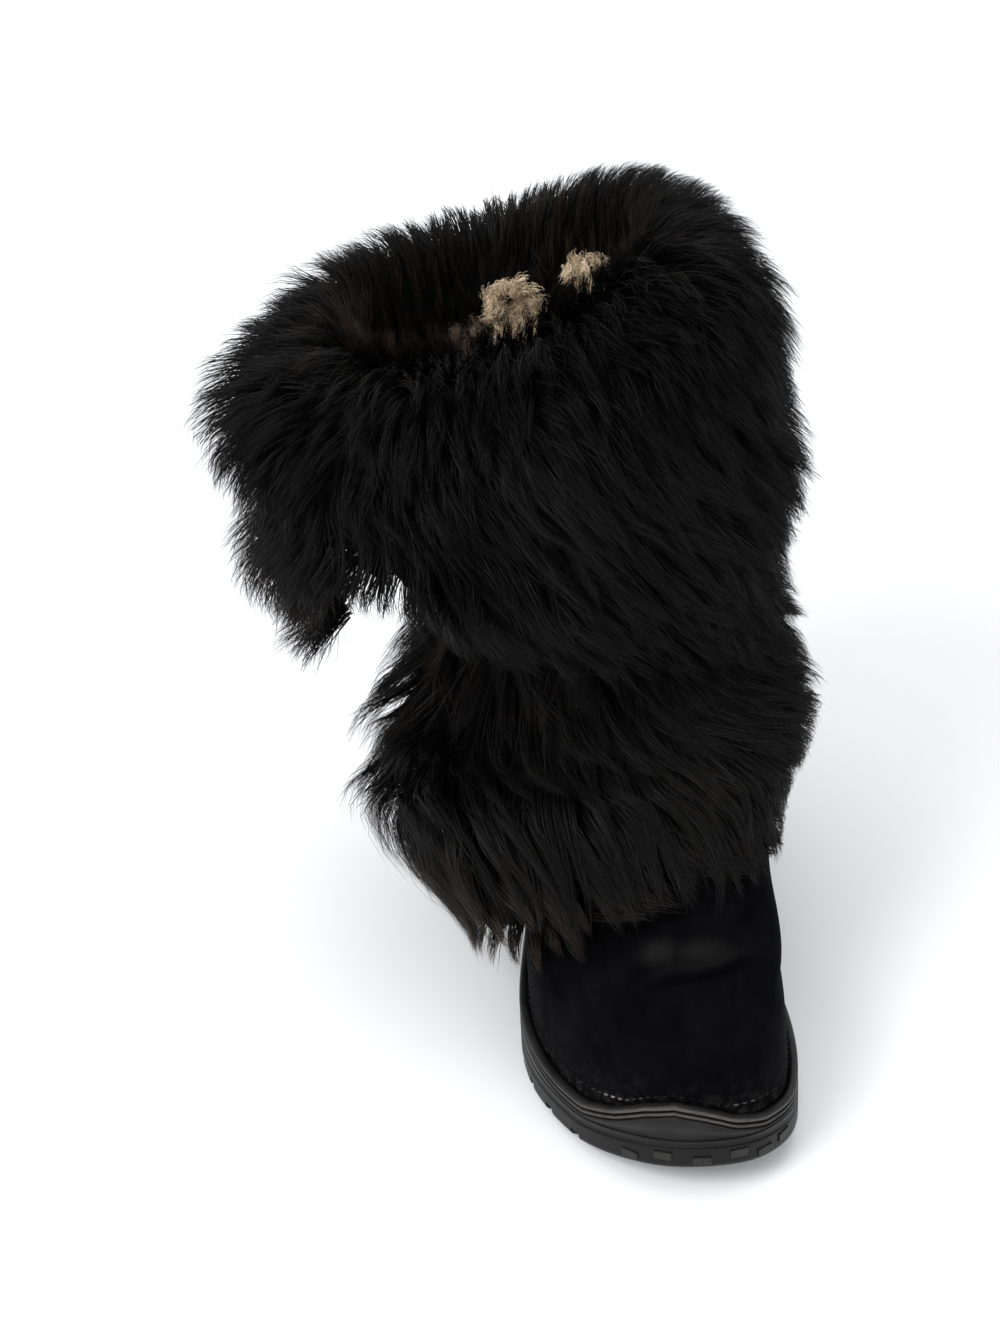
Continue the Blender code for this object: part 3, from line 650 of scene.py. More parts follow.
def dress(name, mesh, finish, stands_for, marks):
    """A mesh as a piece of the boot, with its finish and the values that the finish reads at the mesh's points."""
    for mark, values in marks.items():
        layer = mesh.attributes.new(mark, "FLOAT", "POINT")
        layer.data.foreach_set("value", np.ascontiguousarray(values, np.float32).ravel())
    mesh.materials.clear()
    mesh.materials.append(finish)
    piece = bpy.data.objects.new(name, mesh)
    bpy.context.scene.collection.objects.link(piece)
    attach(piece, "root")
    if stands_for:
        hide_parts(*stands_for)


def add_piece(name, points, faces, finish, slot, stands_for=(), marks=None):
    """A piece of the boot from arrays of points and faces. Returns its mesh."""
    mesh = bpy.data.meshes.new(name)
    points = np.ascontiguousarray(points, np.float32).reshape(-1, 3)
    mesh.vertices.add(len(points))
    mesh.vertices.foreach_set("co", points.ravel())
    corners = np.concatenate([f.ravel() for f in faces]).astype(np.int32)
    sizes = np.concatenate([np.full(len(f), f.shape[1]) for f in faces])
    mesh.loops.add(len(corners))
    mesh.loops.foreach_set("vertex_index", corners)
    mesh.polygons.add(len(sizes))
    mesh.polygons.foreach_set("loop_start", np.concatenate([[0], np.cumsum(sizes)[:-1]]).astype(np.int32))
    mesh.update(calc_edges=True)
    mesh.shade_smooth()
    dress(name, mesh, finish, stands_for, marks or {})
    return mesh


def ring_faces(rings, count, closed):
    """Four-sided faces between rings of points, from the last ring to the first too where the shape is closed."""
    ring = np.arange(rings if closed else rings - 1)[:, None]
    low, high = ring * count, (ring + 1) % rings * count
    j = np.arange(count)
    k = (j + 1) % count
    return np.stack([low + j, low + k, high + k, high + j], -1).reshape(-1, 4)


def outward_faces(points, faces):
    """The faces, turned round if the closed shape they make is inside out."""
    total = 0.0
    for group in faces:
        p = points[group]
        for k in range(1, group.shape[1] - 1):
            total += (p[:, 0] * np.cross(p[:, k], p[:, k + 1])).sum()
    return faces if total > 0 else [group[:, ::-1] for group in faces]


def loop_piece(name, rings, *rest, **more):
    """A closed piece whose wall is a loop of rings."""
    rings = np.asarray(rings)
    points = rings.reshape(-1, 3)
    faces = outward_faces(points, [ring_faces(len(rings), rings.shape[1], True)])
    add_piece(name, points, faces, *rest, **more)


def slab_faces(levels, count):
    """Faces of stacked outlines, with strips from side to side over both ends."""
    faces = [ring_faces(levels, count, False)]
    half = count // 2
    j = np.arange(1, half - 1)
    for first in (0, (levels - 1) * count):
        faces.append(first + np.stack([j, j + 1, count - j - 1, count - j], -1))
        faces.append(first + np.array([[0, 1, count - 1], [half - 1, half, half + 1]]))
    return faces


def places_round(count):
    """Even places around, from the heel's back."""
    return np.arange(count) / count


def grid(levels, count):
    """Levels in rows and even places around in columns, as two arrays."""
    return np.meshgrid(levels, places_round(count), indexing="ij")


def sole_ring(inset, height):
    """One outline of a sole layer, at a height that a function of y gives."""
    x, y = Footprint(inset).point(places_round(SOLE_DIVISIONS))
    return np.stack([x, y, height(y)], -1)


def finished_mesh(piece_name, points, faces, changes=()):
    """The mesh of a closed shape after other shapes are added to it or cut from it."""
    made = []
    for k, (spots, groups, operation) in enumerate([(points, faces, None), *changes]):
        mesh = bpy.data.meshes.new(piece_name)
        mesh.from_pydata(spots.tolist(), [], [face for group in groups for face in group.tolist()])
        shape = bmesh.new()
        shape.from_mesh(mesh)
        bmesh.ops.recalc_face_normals(shape, faces=shape.faces)
        if shape.calc_volume(signed=True) < 0:
            bmesh.ops.reverse_faces(shape, faces=shape.faces)
        shape.to_mesh(mesh)
        shape.free()
        thing = bpy.data.objects.new(f"{piece_name}_{k}", mesh)
        bpy.context.scene.collection.objects.link(thing)
        made.append((thing, operation))
    body = made[0][0]
    for thing, operation in made[1:]:
        change = body.modifiers.new(operation.lower(), "BOOLEAN")
        change.operation, change.object, change.solver = operation, thing, "EXACT"
    bpy.context.view_layer.update()
    result = bpy.data.meshes.new_from_object(body.evaluated_get(bpy.context.evaluated_depsgraph_get()))
    for thing, _ in made:
        bpy.data.objects.remove(thing, do_unlink=True)
    return result


def fit_mesh(name, mesh, finish, stands_for, marks):
    """A ready mesh as a piece of the boot. Marks is a function of its points."""
    points = np.empty(len(mesh.vertices) * 3, np.float32)
    mesh.vertices.foreach_get("co", points)
    dress(name, mesh, finish, stands_for, marks(points.reshape(-1, 3)))


def chevron_bars():
    """All the tread's V-shaped grooves, as bars to cut with."""
    points, quads = [], []
    reach, half = BALL_WIDTH * 0.62, GROOVE_WIDTH / 2
    bar = [(0, 1, 4, 5), (1, 2, 3, 4), (6, 7, 10, 11), (7, 8, 9, 10)]
    bar += [(k, (k + 1) % 6, (k + 1) % 6 + 6, k + 6) for k in range(6)]
    for along, lead_share in GROOVES.numbers:
        y, lead = (HEEL_CENTRE - along) * SOLE_LENGTH, lead_share * SOLE_LENGTH
        plan = (
            (-reach, y + lead - half), (0, y - lead - half), (reach, y + lead - half),
            (reach, y + lead + half), (0, y - lead + half), (-reach, y + lead + half),
        )
        quads.append(np.array(bar) + len(points))
        base = float(tread_height(y))
        points += [(px, py, z) for z in (base - 2 * LUG_DEPTH, base + LUG_DEPTH) for px, py in plan]
    return np.array(points), [np.concatenate(quads)]


def rounded_block(centre, side, outward, size, corner):
    """Points and faces of one small moulded block with softened edges."""
    steps = np.array([-1, -1 + corner, 1 - corner, 1.0])
    cube = np.array([(a, b, c) for c in steps for b in steps for a in steps])
    outer = np.abs(cube) == 1
    cube = cube * np.where(outer & (outer.sum(1, keepdims=True) > 1), 1 - corner * 0.30, 1)
    up = np.array([0, 0, 1.0])
    points = centre + (cube * np.array(size) / 2) @ np.stack([side, outward, up])
    index = np.arange(64).reshape(4, 4, 4)
    faces = []
    for axis in range(3):
        for end in (0, 3):
            sheet = np.take(index, end, axis)
            squares = np.stack([sheet[:-1, :-1], sheet[1:, :-1], sheet[1:, 1:], sheet[:-1, 1:]], -1)
            faces.append(squares.reshape(-1, 4))
    return points, np.concatenate(faces)


def toe_blocks():
    """The small lugs on the toe's front wall, high and low by turns."""
    wall = Footprint(0)
    out, up = TOE_LUG_SIZE[1:]
    points, faces = [], []
    for k in range(TOE_LUGS):
        around = 0.5 + (k - (TOE_LUGS - 1) / 2) * TOE_LUG_STEP
        x, y = (float(v) for v in wall.point(np.array(around)))
        before, after = (np.array(wall.point(np.array(around + step))) for step in (-0.004, 0.004))
        side = unit(after - before)
        outward = np.array([side[1], -side[0], 0])
        if outward[1] > 0:
            outward = -outward
        base = float(tread_height(y)) + OUTSOLE_THICKNESS * (0.25 if k % 2 else 0.52)
        centre = np.array([x, y, base + up / 2]) + outward * (-out * 0.30)
        block, sheets = rounded_block(centre, np.array([*side, 0]), outward, TOE_LUG_SIZE, 0.25)
        faces.append(sheets + k * len(block))
        points.append(block)
    return np.concatenate(points), [np.concatenate(faces)]


def make_outsole(rubber):
    """The tread with its chevron grooves and the lugs on the toe's front."""
    bevel = 0.0012
    # Rings up the wall, rounded at the lower edge and a little at the upper one
    rings = [
        sole_ring(bevel * 1.8, tread_height),
        sole_ring(bevel * 0.8, lambda y: tread_height(y) + bevel * 0.25),
        sole_ring(bevel * 0.25, lambda y: tread_height(y) + bevel * 0.8),
        sole_ring(0, lambda y: tread_height(y) + bevel * 1.8),
        sole_ring(0, lambda y: tread_height(y) + LUG_DEPTH * 1.2),
        sole_ring(0, lambda y: outsole_top(y) - bevel),
        sole_ring(0.0001, lambda y: outsole_top(y) - bevel * 0.25),
        sole_ring(0.0004, outsole_top),
    ]
    changes = (*toe_blocks(), "UNION"), (*chevron_bars(), "DIFFERENCE")
    mesh = finished_mesh("tread", np.concatenate(rings), slab_faces(len(rings), SOLE_DIVISIONS), changes)
    outline = np.concatenate(Footprint(0).sides)

    def marks(spots):
        """Worn round the tread's edge and at the toe, with a painted highlight, strongest of all, on the lugs that
        stand out of the wall.
        """
        height = spots[:, 2] - tread_height(spots[:, 1])
        gap = spots[:, None, :2] - outline[None]
        nearest = outline[np.hypot(gap[..., 0], gap[..., 1]).argmin(1)]
        middle = np.array([0.0, (HEEL_CENTRE - 0.6) * SOLE_LENGTH])
        past = np.linalg.norm(spots[:, :2] - middle, axis=1) - np.linalg.norm(nearest - middle, axis=1)
        worn = 0.8 * smooth_step(-height, -0.0022, 0.0) + 0.25 * smooth_step(-spots[:, 1], 0.195, 0.235)
        # The lugs standing out of the wall get the painted highlight
        return {"rubbed": np.maximum(worn, smooth_step(past, 0.0002, 0.0005))}

    fit_mesh("outsole_tread", mesh, rubber, ("outsole",), marks)


def make_midsole(rubber):
    """The thick middle layer: a smooth wall, drawn in at the bottom, with the rand's step at the top."""
    step = RAND_TUCK + SEAM_GAP
    wall = MIDSOLE_WALL.fine(26)
    rings = [
        sole_ring(inset, lambda y: (outsole_top(y) + SEAM_GAP) * (1 - share) + (feather_height(y) - step) * share)
        for inset, share in zip(wall.inset, wall.share)
    ]
    inner = SOLE_EDGE + SEAM_GAP
    rings += [sole_ring(inner, lambda y: feather_height(y) - step), sole_ring(inner, feather_height)]
    mesh = finished_mesh("middle", np.concatenate(rings), slab_faces(len(rings), SOLE_DIVISIONS))

    def marks(spots):
        """Worn along the lower edge at the toe."""
        low = spots[:, 2] - outsole_top(spots[:, 1])
        return {"rubbed": 0.45 * smooth_step(-spots[:, 1], 0.17, 0.235) * smooth_step(-low, -0.006, -0.001)}

    fit_mesh("midsole_wall", mesh, rubber, ("midsole",), marks)


def rim_height(y, around, drop):
    """Heights on the rim, at a drop below its wavy upper edge."""
    return feather_height(y) + (RIM.straight("around", around % 1, "rise") - drop) * RAND_HEIGHT


def make_rand(rubber):
    """The rolled rim round the upper's base: two beads with a groove between them, over a plain skirt."""
    around = places_round(SOLE_DIVISIONS)
    inside = SOLE_EDGE - 2 * SEAM_GAP
    rings = [sole_ring(inset, lambda y: feather_height(y) - RAND_TUCK) for inset in (inside, 0.0002)]
    rubbed = [0 * around, 0 * around]
    front = 0.30 + 0.70 * beside(around, 0.53, 0.12)
    beads = BEADS.fine(62)
    for inset, drop in [*zip(beads.inset * SOLE_EDGE, beads.drop), (inside, 0.04)]:
        x, y = Footprint(inset).point(around)
        rings.append(np.stack([x, y, rim_height(y, around, drop)], -1))
        # Bead crests are painted paler, most at the front: painted highlight with some wear
        crest = smooth_step(-inset, -0.0009, -0.0001) * smooth_step(-drop, -0.90, -0.74)
        rubbed.append(crest * front)
    loop_piece("rand_beads", rings, rubber, "rubber", ("rand",), marks={"rubbed": np.array(rubbed)})


# Creases of the vamp as lines over the foot (x, y in metres), their half width, depth, and the ridge behind them
Crease = namedtuple("Crease", "line width depth ridge")
CREASES = (
    Crease(
        ((-0.006, -0.1965), (0.004, -0.1945), (0.014, -0.1950), (0.024, -0.1930), (0.033, -0.1885)),
        0.0017, 0.0016, 0.0014,
    ),
    Crease(((-0.016, -0.1715), (-0.004, -0.1690), (0.010, -0.1680), (0.022, -0.1665)), 0.0026, 0.0008, 0.0008),
    Crease(((0.030, -0.1740), (0.037, -0.1690), (0.041, -0.1600)), 0.0018, 0.0010, 0.0006),
    Crease(((-0.034, -0.1690), (-0.029, -0.1620), (-0.027, -0.1530)), 0.0022, 0.0012, 0.0006),
    Crease(((-0.0240, -0.2090), (-0.0225, -0.2150)), 0.0010, 0.0007, 0.0002),
    Crease(((-0.0440, -0.1830), (-0.0425, -0.1760)), 0.0012, 0.0009, 0.0003),
    Crease(((-0.0400, -0.1960), (-0.0340, -0.2030)), 0.0013, 0.0006, 0.0002),
)

# Rubbed patches of the vamp, worn and with a painted highlight: centre over the foot, half width, half length, and
# how strong they are
WEAR_AND_HIGHLIGHT_PATCHES = (((0.000, -0.1815), 0.0075, 0.0055, 0.9), ((0.016, -0.1835), 0.0120, 0.0050, 0.75))

# The soft swell of the vamp's inner side: its middle around and in climb, half sizes of both, and how far out it
# stands
SWELL = SimpleNamespace(around=0.39, climb=4.4, wide=0.07, high=0.9, out=0.0042)


def distance_to_line(spots, line):
    """Distance over the plan from each spot to a line of points, how far along it that is, and its side."""
    best = np.full(len(spots), 1e9)
    where = np.zeros(len(spots))
    side = np.zeros(len(spots))
    line = np.array(line)
    for k, (a, b) in enumerate(zip(line, line[1:])):
        along = b - a
        share = np.clip(((spots - a) @ along) / (along @ along), 0, 1)
        gap = spots - (a + share[:, None] * along)
        distance = np.hypot(*gap.T)
        closer = distance < best
        best = np.where(closer, distance, best)
        where = np.where(closer, (k + share) / (len(line) - 1), where)
        side = np.where(closer, along[0] * gap[:, 1] - along[1] * gap[:, 0], side)
    return best, where, np.sign(side)


def suede_relief(points, climb):
    """How far the suede stands off the last's smooth form, and how much painted shade it gets from lying deep in a
    crease:
    creases, the ridges behind them, and slack over the instep."""
    flat = points.reshape(-1, 3)
    relief, painted_crease_shade = np.zeros(len(flat)), np.zeros(len(flat))
    above = smooth_step(climb.ravel(), 0.6, 1.6)
    for crease in CREASES:
        distance, where, side = distance_to_line(flat[:, :2], crease.line)
        ends = 0.35 + 0.65 * np.sin(np.pi * np.clip(where, 0.02, 0.98))
        trough = ends * bell(distance, 0, crease.width)
        relief -= crease.depth * trough
        # The painted crease shade follows each crease's depth
        painted_crease_shade = np.maximum(painted_crease_shade, trough * np.minimum(crease.depth / 0.0014, 1))
        back = bell(distance, 2.6 * crease.width, 2.2 * crease.width) * (side > 0)
        relief += crease.ridge * ends * back
    slack = unevenness(11, flat[:, 0] * 90, flat[:, 1] * 110, flat[:, 2] * 60)
    folds = unevenness(12, flat[:, 0] * 30, flat[:, 1] * 260, flat[:, 2] * 260)
    flex = bell(climb.ravel(), 7.2, 1.6)
    relief = relief + above * (0.00035 * slack + 0.0007 * flex * folds)
    return relief.reshape(climb.shape), painted_crease_shade


def make_upper(suede):
    """The suede shell: close rings over the foot, wider ones under the fur, and its plain inner face."""
    climb, place = grid(np.concatenate([np.linspace(0, 9, 118), np.linspace(9.3, COLLAR, 24)]), SUEDE_DIVISIONS)
    outer = upper_surface(climb, place)
    relief, painted_crease_shade = suede_relief(outer, climb)
    swell = SWELL.out * beside(place, SWELL.around, SWELL.wide) * bell(climb, SWELL.climb, SWELL.high)
    outer = outer + upper_normal(climb, place) * (relief + swell)[..., None]
    inner_climb, inner_place = grid(np.linspace(COLLAR, 0, 30), SUEDE_DIVISIONS)
    inner = upper_surface(inner_climb, inner_place) - upper_normal(inner_climb, inner_place) * UPPER_WALL
    inner[0, :, 2], inner[-1, :, 2] = outer[-1, :, 2], outer[0, :, 2]
    flat = outer.reshape(-1, 3)
    rubbed = np.zeros(len(flat))
    for (x, y), wide, long, most in WEAR_AND_HIGHLIGHT_PATCHES:
        rubbed = np.maximum(rubbed, most * bell(flat[:, 0], x, wide) * bell(flat[:, 1], y, long))
    # Whatever stands proud is paler too: a painted highlight on the ridges and slack
    rubbed += 250 * np.maximum(relief.ravel(), 0)
    toe = bell(climb.ravel(), 3.0, 0.8) * smooth_step(-flat[:, 1], 0.16, 0.22)
    rubbed = np.maximum(rubbed, 0.22 * toe)
    # Dust lies just over the rand and thins out above it
    dusty = np.exp(-(climb.ravel() - 0.9) / 0.5) * (climb.ravel() > 0.3)
    marks = {"rubbed": rubbed, "dusty": dusty, "painted_crease_shade": painted_crease_shade}
    marks = {name: np.append(values, np.zeros(inner_climb.size)) for name, values in marks.items()}
    loop_piece("suede_upper", np.concatenate([outer, inner]), suede, "suede", ("upper",), marks=marks)


def make_stitches(thread):
    """The row of stitches through the upper just above the rand."""
    dice = np.random.default_rng(31)
    dense = np.linspace(0, 1, 2001)
    y = LAST.point(dense)[1]
    target = np.maximum(feather_height(y) + STITCH_LINE, rim_height(y, dense, 0) + 0.0019)
    # The climb at which the upper is as high as the stitches, all the way round
    climbs = np.linspace(0.1, 2.2, 60)
    heights = np.stack([upper_surface(np.full(len(dense), c), dense)[:, 2] for c in climbs], 1)
    climb = np.array([np.interp(t, row, climbs) for t, row in zip(target, heights)])
    path = upper_surface(climb, dense)
    steps = np.concatenate([[0], np.cumsum(np.linalg.norm(np.diff(path, axis=0), axis=1))])
    count = int(steps[-1] / STITCH_PITCH)
    points, pale = [], []
    sides, levels = 6, 5
    turn = TURN * np.arange(sides) / sides
    spread = np.linspace(-0.5, 0.5, levels)
    arch = 1 - (2 * spread) ** 2
    girth = STITCH_RADIUS * (0.35 + 0.65 * np.sqrt(np.maximum(arch, 0)))
    for start in (np.arange(count) + 0.5) * steps[-1] / count:
        places = np.interp(start + spread * STITCH_LENGTH, steps, dense)
        level = np.interp(places, dense, climb)
        centre = upper_surface(level, places)
        normal = upper_normal(level, places)
        along = unit(centre[-1] - centre[0])
        centre = centre + normal * ((arch - 0.45) * STITCH_RADIUS)[:, None]
        across = unit(np.cross(normal, along))
        ring = (
            centre[:, None]
            + across[:, None] * (np.cos(turn)[None, :, None] * girth[:, None, None])
            + normal[:, None] * (np.sin(turn)[None, :, None] * girth[:, None, None])
        )
        points.append(ring.reshape(-1, 3))
        middle = np.interp(start, steps, dense)
        lit = sum(most * bell(middle, place, 0.014) for place, most in PALE_STITCHES)
        pale.append(np.full(sides * levels, min(1.0, lit * dice.uniform(0.3, 1.6) + 0.015 * dice.random())))
    first = np.arange(count)[:, None] * sides * levels
    walls = (first[..., None] + ring_faces(levels, sides, False)).reshape(-1, 4)
    bottom, top = first + np.arange(sides)[::-1], first + sides * (levels - 1) + np.arange(sides)
    faces = [walls, np.stack([bottom, top], 1).reshape(-1, sides)]
    marks = {"pale": np.concatenate(pale)}
    add_piece("rand_stitches", np.concatenate(points), faces, thread, "suede", marks=marks)


def make_lining(wool):
    """The wool pile inside the upper: a bumpy inner skin from the footbed to under the cuff's edge."""
    climb, place = grid(np.linspace(0.9, 14.9, 56), LINING_DIVISIONS)
    base = upper_surface(climb, place)
    normal = upper_normal(climb, place)
    curl = unevenness(41, place * TURN * 14, climb * 4.2) + unevenness(42, place * TURN * 31, climb * 8.5)
    end = np.minimum(smooth_step(climb, 0.9, 1.3), smooth_step(-climb, -14.9, -14.5))
    pile = UPPER_WALL + SEAM_GAP + 0.0008 + end * (0.0028 + 0.0007 * curl)
    inner = base - normal * pile[..., None]
    outer = (base - normal * (UPPER_WALL + SEAM_GAP))[::-1]
    pale = 0.62 + 0.2 * curl
    marks = {"pale": np.clip(np.concatenate([pale.ravel(), pale.ravel()]), 0, 1)}
    loop_piece("wool_lining", np.concatenate([inner, outer]), wool, "felt", marks=marks)


# Where wool shows over the mouth's edge: centre, half sizes along the boot's width, length and height, how many
# tufts, and how pale
WoolPatch = namedtuple("WoolPatch", "centre size tufts pale")
WOOL_PATCHES = (
    WoolPatch((-0.0285, 0.0010, 0.2520), (0.0105, 0.0030, 0.0130), 56, 1.0),
    WoolPatch((0.0030, -0.0100, 0.2690), (0.0105, 0.0028, 0.0095), 42, 1.0),
    WoolPatch((-0.0460, 0.0035, 0.2430), (0.0090, 0.0030, 0.0055), 20, 0.08),
)
HAIRS_PER_TUFT = 34


def disc_spots(dice, count=None):
    """Random spots spread evenly over a disc of radius 1, as complex numbers."""
    return np.sqrt(dice.random(count)) * np.exp(1j * dice.uniform(0, TURN, count))


def make_curls(wool):
    """Tufts of curled wool that stand out of the lining at the back of the mouth."""
    dice = np.random.default_rng(81)
    lines, outward, pale = [], [], []
    s = np.linspace(0, 1, 10)
    for patch in WOOL_PATCHES:
        for _ in range(patch.tufts):
            spot = disc_spots(dice)
            middle = np.array(patch.centre) + np.array(patch.size) * (spot.real, dice.uniform(-1, 1), spot.imag)
            lean = unit(np.array([spot.real * 0.7, -1.0, spot.imag * 0.7 + 0.1]))
            side = unit(np.cross(lean, [0.0, 0.0, 1.0]))
            above = np.cross(side, lean)
            phase, turns = dice.uniform(0, TURN), dice.uniform(0.8, 1.5)
            for _ in range(HAIRS_PER_TUFT):
                root = middle + dice.normal(0, 0.0011, 3) - lean * 0.006
                angle = phase + dice.normal(0, 0.35) + s * turns * TURN
                size = (0.0014 + 0.0010 * dice.random()) * s**0.7
                line = root + lean * (s * dice.uniform(0.009, 0.013))[:, None]
                line = line + side * (np.cos(angle) * size)[:, None]
                lines.append(line + above * (np.sin(angle) * size)[:, None])
                outward.append(unit(lean + dice.normal(0, 0.5, 3)))
                pale.append(patch.pale * dice.uniform(0.85, 1.0))
    lines, outward, pale = np.array(lines), np.array(outward), np.array(pale)
    width = dice.uniform(0.0005, 0.0008, len(lines))
    strand_piece("wool_curls", lines, outward, pale, width, wool, "felt", root_shade=0.85)


def strand_piece(name, lines, outward, pale, width, finish, slot, stands_for=(), root_shade=0.45):
    """Flat tapered hairs as one mesh, along lines of points, each ending in a point and darker at its root."""
    count, nodes = lines.shape[:2]
    tangent = unit(np.gradient(lines, axis=1))
    across = unit(np.cross(tangent, outward[:, None]))
    taper = np.linspace(1, 0, nodes) ** 0.8 * 0.92 + 0.08
    half = across * (width[:, None] * taper)[..., None] / 2
    left, right = (lines - half)[:, :-1], (lines + half)[:, :-1]
    points = np.concatenate([np.stack([left, right], 2).reshape(count, -1, 3), lines[:, -1:]], 1)
    per = 2 * (nodes - 1) + 1
    first = (np.arange(count) * per)[:, None]
    k = np.arange(nodes - 2) * 2
    quads = np.stack([first + k, first + k + 1, first + k + 3, first + k + 2], -1).reshape(-1, 4)
    last = first + 2 * (nodes - 2)
    tips = np.concatenate([last, last + 1, last + 2], 1)
    along = np.append(np.repeat(np.linspace(0, 1, nodes)[:-1], 2), 1.0)
    shade = np.clip(pale[:, None] * (root_shade + (1 - root_shade) * along**1.5), 0, 1)
    mesh = add_piece(name, points, [quads, tips], finish, slot, stands_for, {"pale": shade})
    fold_out(mesh, along, pale, per)


def fold_out(mesh, along, pale, per):
    """A map of the hairs for the finished colours: down a hair one way, from dark to pale hairs the other."""
    corners = np.empty(len(mesh.loops), np.int32)
    mesh.loops.foreach_get("vertex_index", corners)
    hair, point = corners // per, corners % per
    side = np.where(point == per - 1, 0.5, point % 2)
    # Hairs share 256 columns by how pale they are, each column wide enough for a hair's two sides
    column = 0.004 + 0.99 * (np.floor(np.clip(pale, 0, 1) * 255) / 256)
    across = column[hair] + side * 0.0030
    spots = np.stack([across, 0.02 + 0.96 * along[point]], -1)
    layer = mesh.uv_layers.new(name="OFBake")
    layer.uv.foreach_set("vector", spots.astype(np.float32).ravel())


# A coat of hair. Lay places a spot in it, start and end are its first and last run, and columns and spacing set how
# close its locks stand, each with a number of hairs. Length, slant and proud are functions of a place: how long the
# locks are, their slant in degrees, and how far their tips stand out. Reach is the longest run. Most is the greatest
# height of a tip, bury how deep the roots lie, ragged how much the locks differ, clump how tightly a lock's tip is
# drawn in, bend how early its hairs lie down, and frizz how far they wander.
Coat = namedtuple(
    "Coat", "lay start end columns spacing hairs length slant reach most bury proud ragged clump bend frizz"
)


def lock_places(coat, dice):
    """The roots of a coat's locks, spread evenly over it and jittered."""
    columns = (np.arange(coat.columns) + 0.5) / coat.columns
    step = 0.01
    middle = (coat.start + coat.end) / 2
    long = np.linalg.norm(coat.lay(columns, middle + step, 1.0) - coat.lay(columns, middle - step, 1.0), axis=1)
    tiers = np.maximum((long / (2 * step) * (coat.end - coat.start) / coat.spacing).round().astype(int), 2)
    column = np.repeat(np.arange(coat.columns), tiers)
    tier = np.concatenate([np.arange(n) for n in tiers])
    share = (tier + 0.5 + dice.uniform(-0.42, 0.42, len(tier))) / tiers[column]
    around = (column + 0.5 + 0.5 * (tier % 2) + dice.uniform(-0.42, 0.42, len(tier))) / coat.columns
    return around % 1, coat.start + (coat.end - coat.start) * share


def grow(coat, seed):
    """A coat's hairs in locks: each starts somewhere in its lock's root and is drawn in towards the lock's tip."""
    dice = np.random.default_rng(seed)
    around, run = lock_places(coat, dice)
    kept = run < coat.reach(around) - 0.10
    around, run = around[kept], run[kept]
    locks = len(around)
    step = 0.01

    def gap(low, high):
        return np.linalg.norm(coat.lay(*high) - coat.lay(*low), axis=-1)

    per_around = gap((around - step, run, 1.0), (around + step, run, 1.0)) / (2 * step)
    per_run = gap((around, run - step, 1.0), (around, run + step, 1.0)) / (2 * step)
    per_height = np.maximum(gap((around, run, 0.5), (around, run, 1.0)) / 0.5, 0.012)
    long = coat.length(around, run) * dice.uniform(0.75, 1.2, locks)
    drift = unevenness(seed + 1, around * TURN * 2, run * 7) * 0.25 + dice.normal(0, 0.20, locks)
    slant = np.radians(coat.slant(around, run)) + drift
    proud = coat.proud(around, run) + coat.ragged * (1 + beside(around, 0.76, 0.10)) * (
        unevenness(seed + 2, around * TURN * 5, run * 16) + dice.normal(0, 0.7, locks)
    )
    room = np.maximum(coat.reach(around) + dice.normal(0, 0.022, locks) - run, 0.06)
    lock_run = np.minimum(long / per_run * np.cos(slant), room)
    # The outer side's locks are fuller towards their ends, where no under-fur lies behind them
    thick = 1 + 0.9 * beside(around, 0.71, 0.12) * smooth_step(run, 0.60, 0.80)
    number = np.repeat(np.arange(locks), (coat.hairs * thick).astype(int))
    hairs = len(number)
    cell_around = 0.5 / coat.columns * 1.25
    cell_run = (coat.spacing / per_run * 0.62)[number]
    spot = disc_spots(dice, hairs)
    off_around, off_run = spot.real * cell_around, spot.imag * cell_run
    own = dice.uniform(0.72, 1.06, hairs)
    s = np.linspace(0, 1, 5)[None]
    gather = 1 - coat.clump * s**1.2
    lay_along = lock_run[number] * own
    lay_across = long[number] * own / per_around[number] * np.sin(slant[number])
    path_around = around[number][:, None] + off_around[:, None] * gather + lay_across[:, None] * s**1.15
    path_run = run[number][:, None] + off_run[:, None] * (1 - 0.5 * coat.clump * s) + lay_along[:, None] * s
    root = np.clip(1 - coat.bury / per_height, 0.05, 1)[number][:, None]
    tip = np.clip((1 + proud / per_height)[number] + dice.normal(0, 0.04, hairs), 0.8, coat.most)[:, None]
    path_height = root + (tip - root) * (1 - (1 - s) ** coat.bend)
    lines = coat.lay(path_around, np.clip(path_run, -0.04, 1.28), path_height)
    wave = coat.frizz * np.sin(s * math.pi * 1.6 + dice.uniform(0, TURN, (hairs, 1)))
    lines = lines + dice.normal(size=(hairs, 1, 3)) * (wave * s)[..., None]
    middle = path_around[:, 2], path_run[:, 2]
    outward = unit(coat.lay(*middle, 1.2) - coat.lay(*middle, 0.8))
    outward = unit(outward + dice.normal(0, 0.42, (hairs, 3)))
    return SimpleNamespace(lines=lines, outward=outward, around=around[number], run=run[number], dice=dice)


# Round the boot: how far along the cuff's and the shaft's fur the longest hairs and the under-fur reach, where
# the solids end at 1
REACH = Rows(
    "around cuff shaft",
    (0.00, 1.05, 1.06),
    (0.10, 1.06, 1.08),
    (0.20, 1.06, 1.12),
    (0.34, 1.08, 1.17),
    (0.44, 1.08, 1.13),
    (0.50, 1.06, 1.08),
    (0.57, 1.01, 1.08),
    (0.61, 0.97, 1.12),
    (0.65, 0.95, 1.13),
    (0.69, 1.03, 1.09),
    (0.73, 1.09, 1.05),
    (0.78, 1.10, 1.04),
    (0.83, 1.08, 1.05),
    (0.90, 1.05, 1.05),
    (1.00, 1.05, 1.06),
)


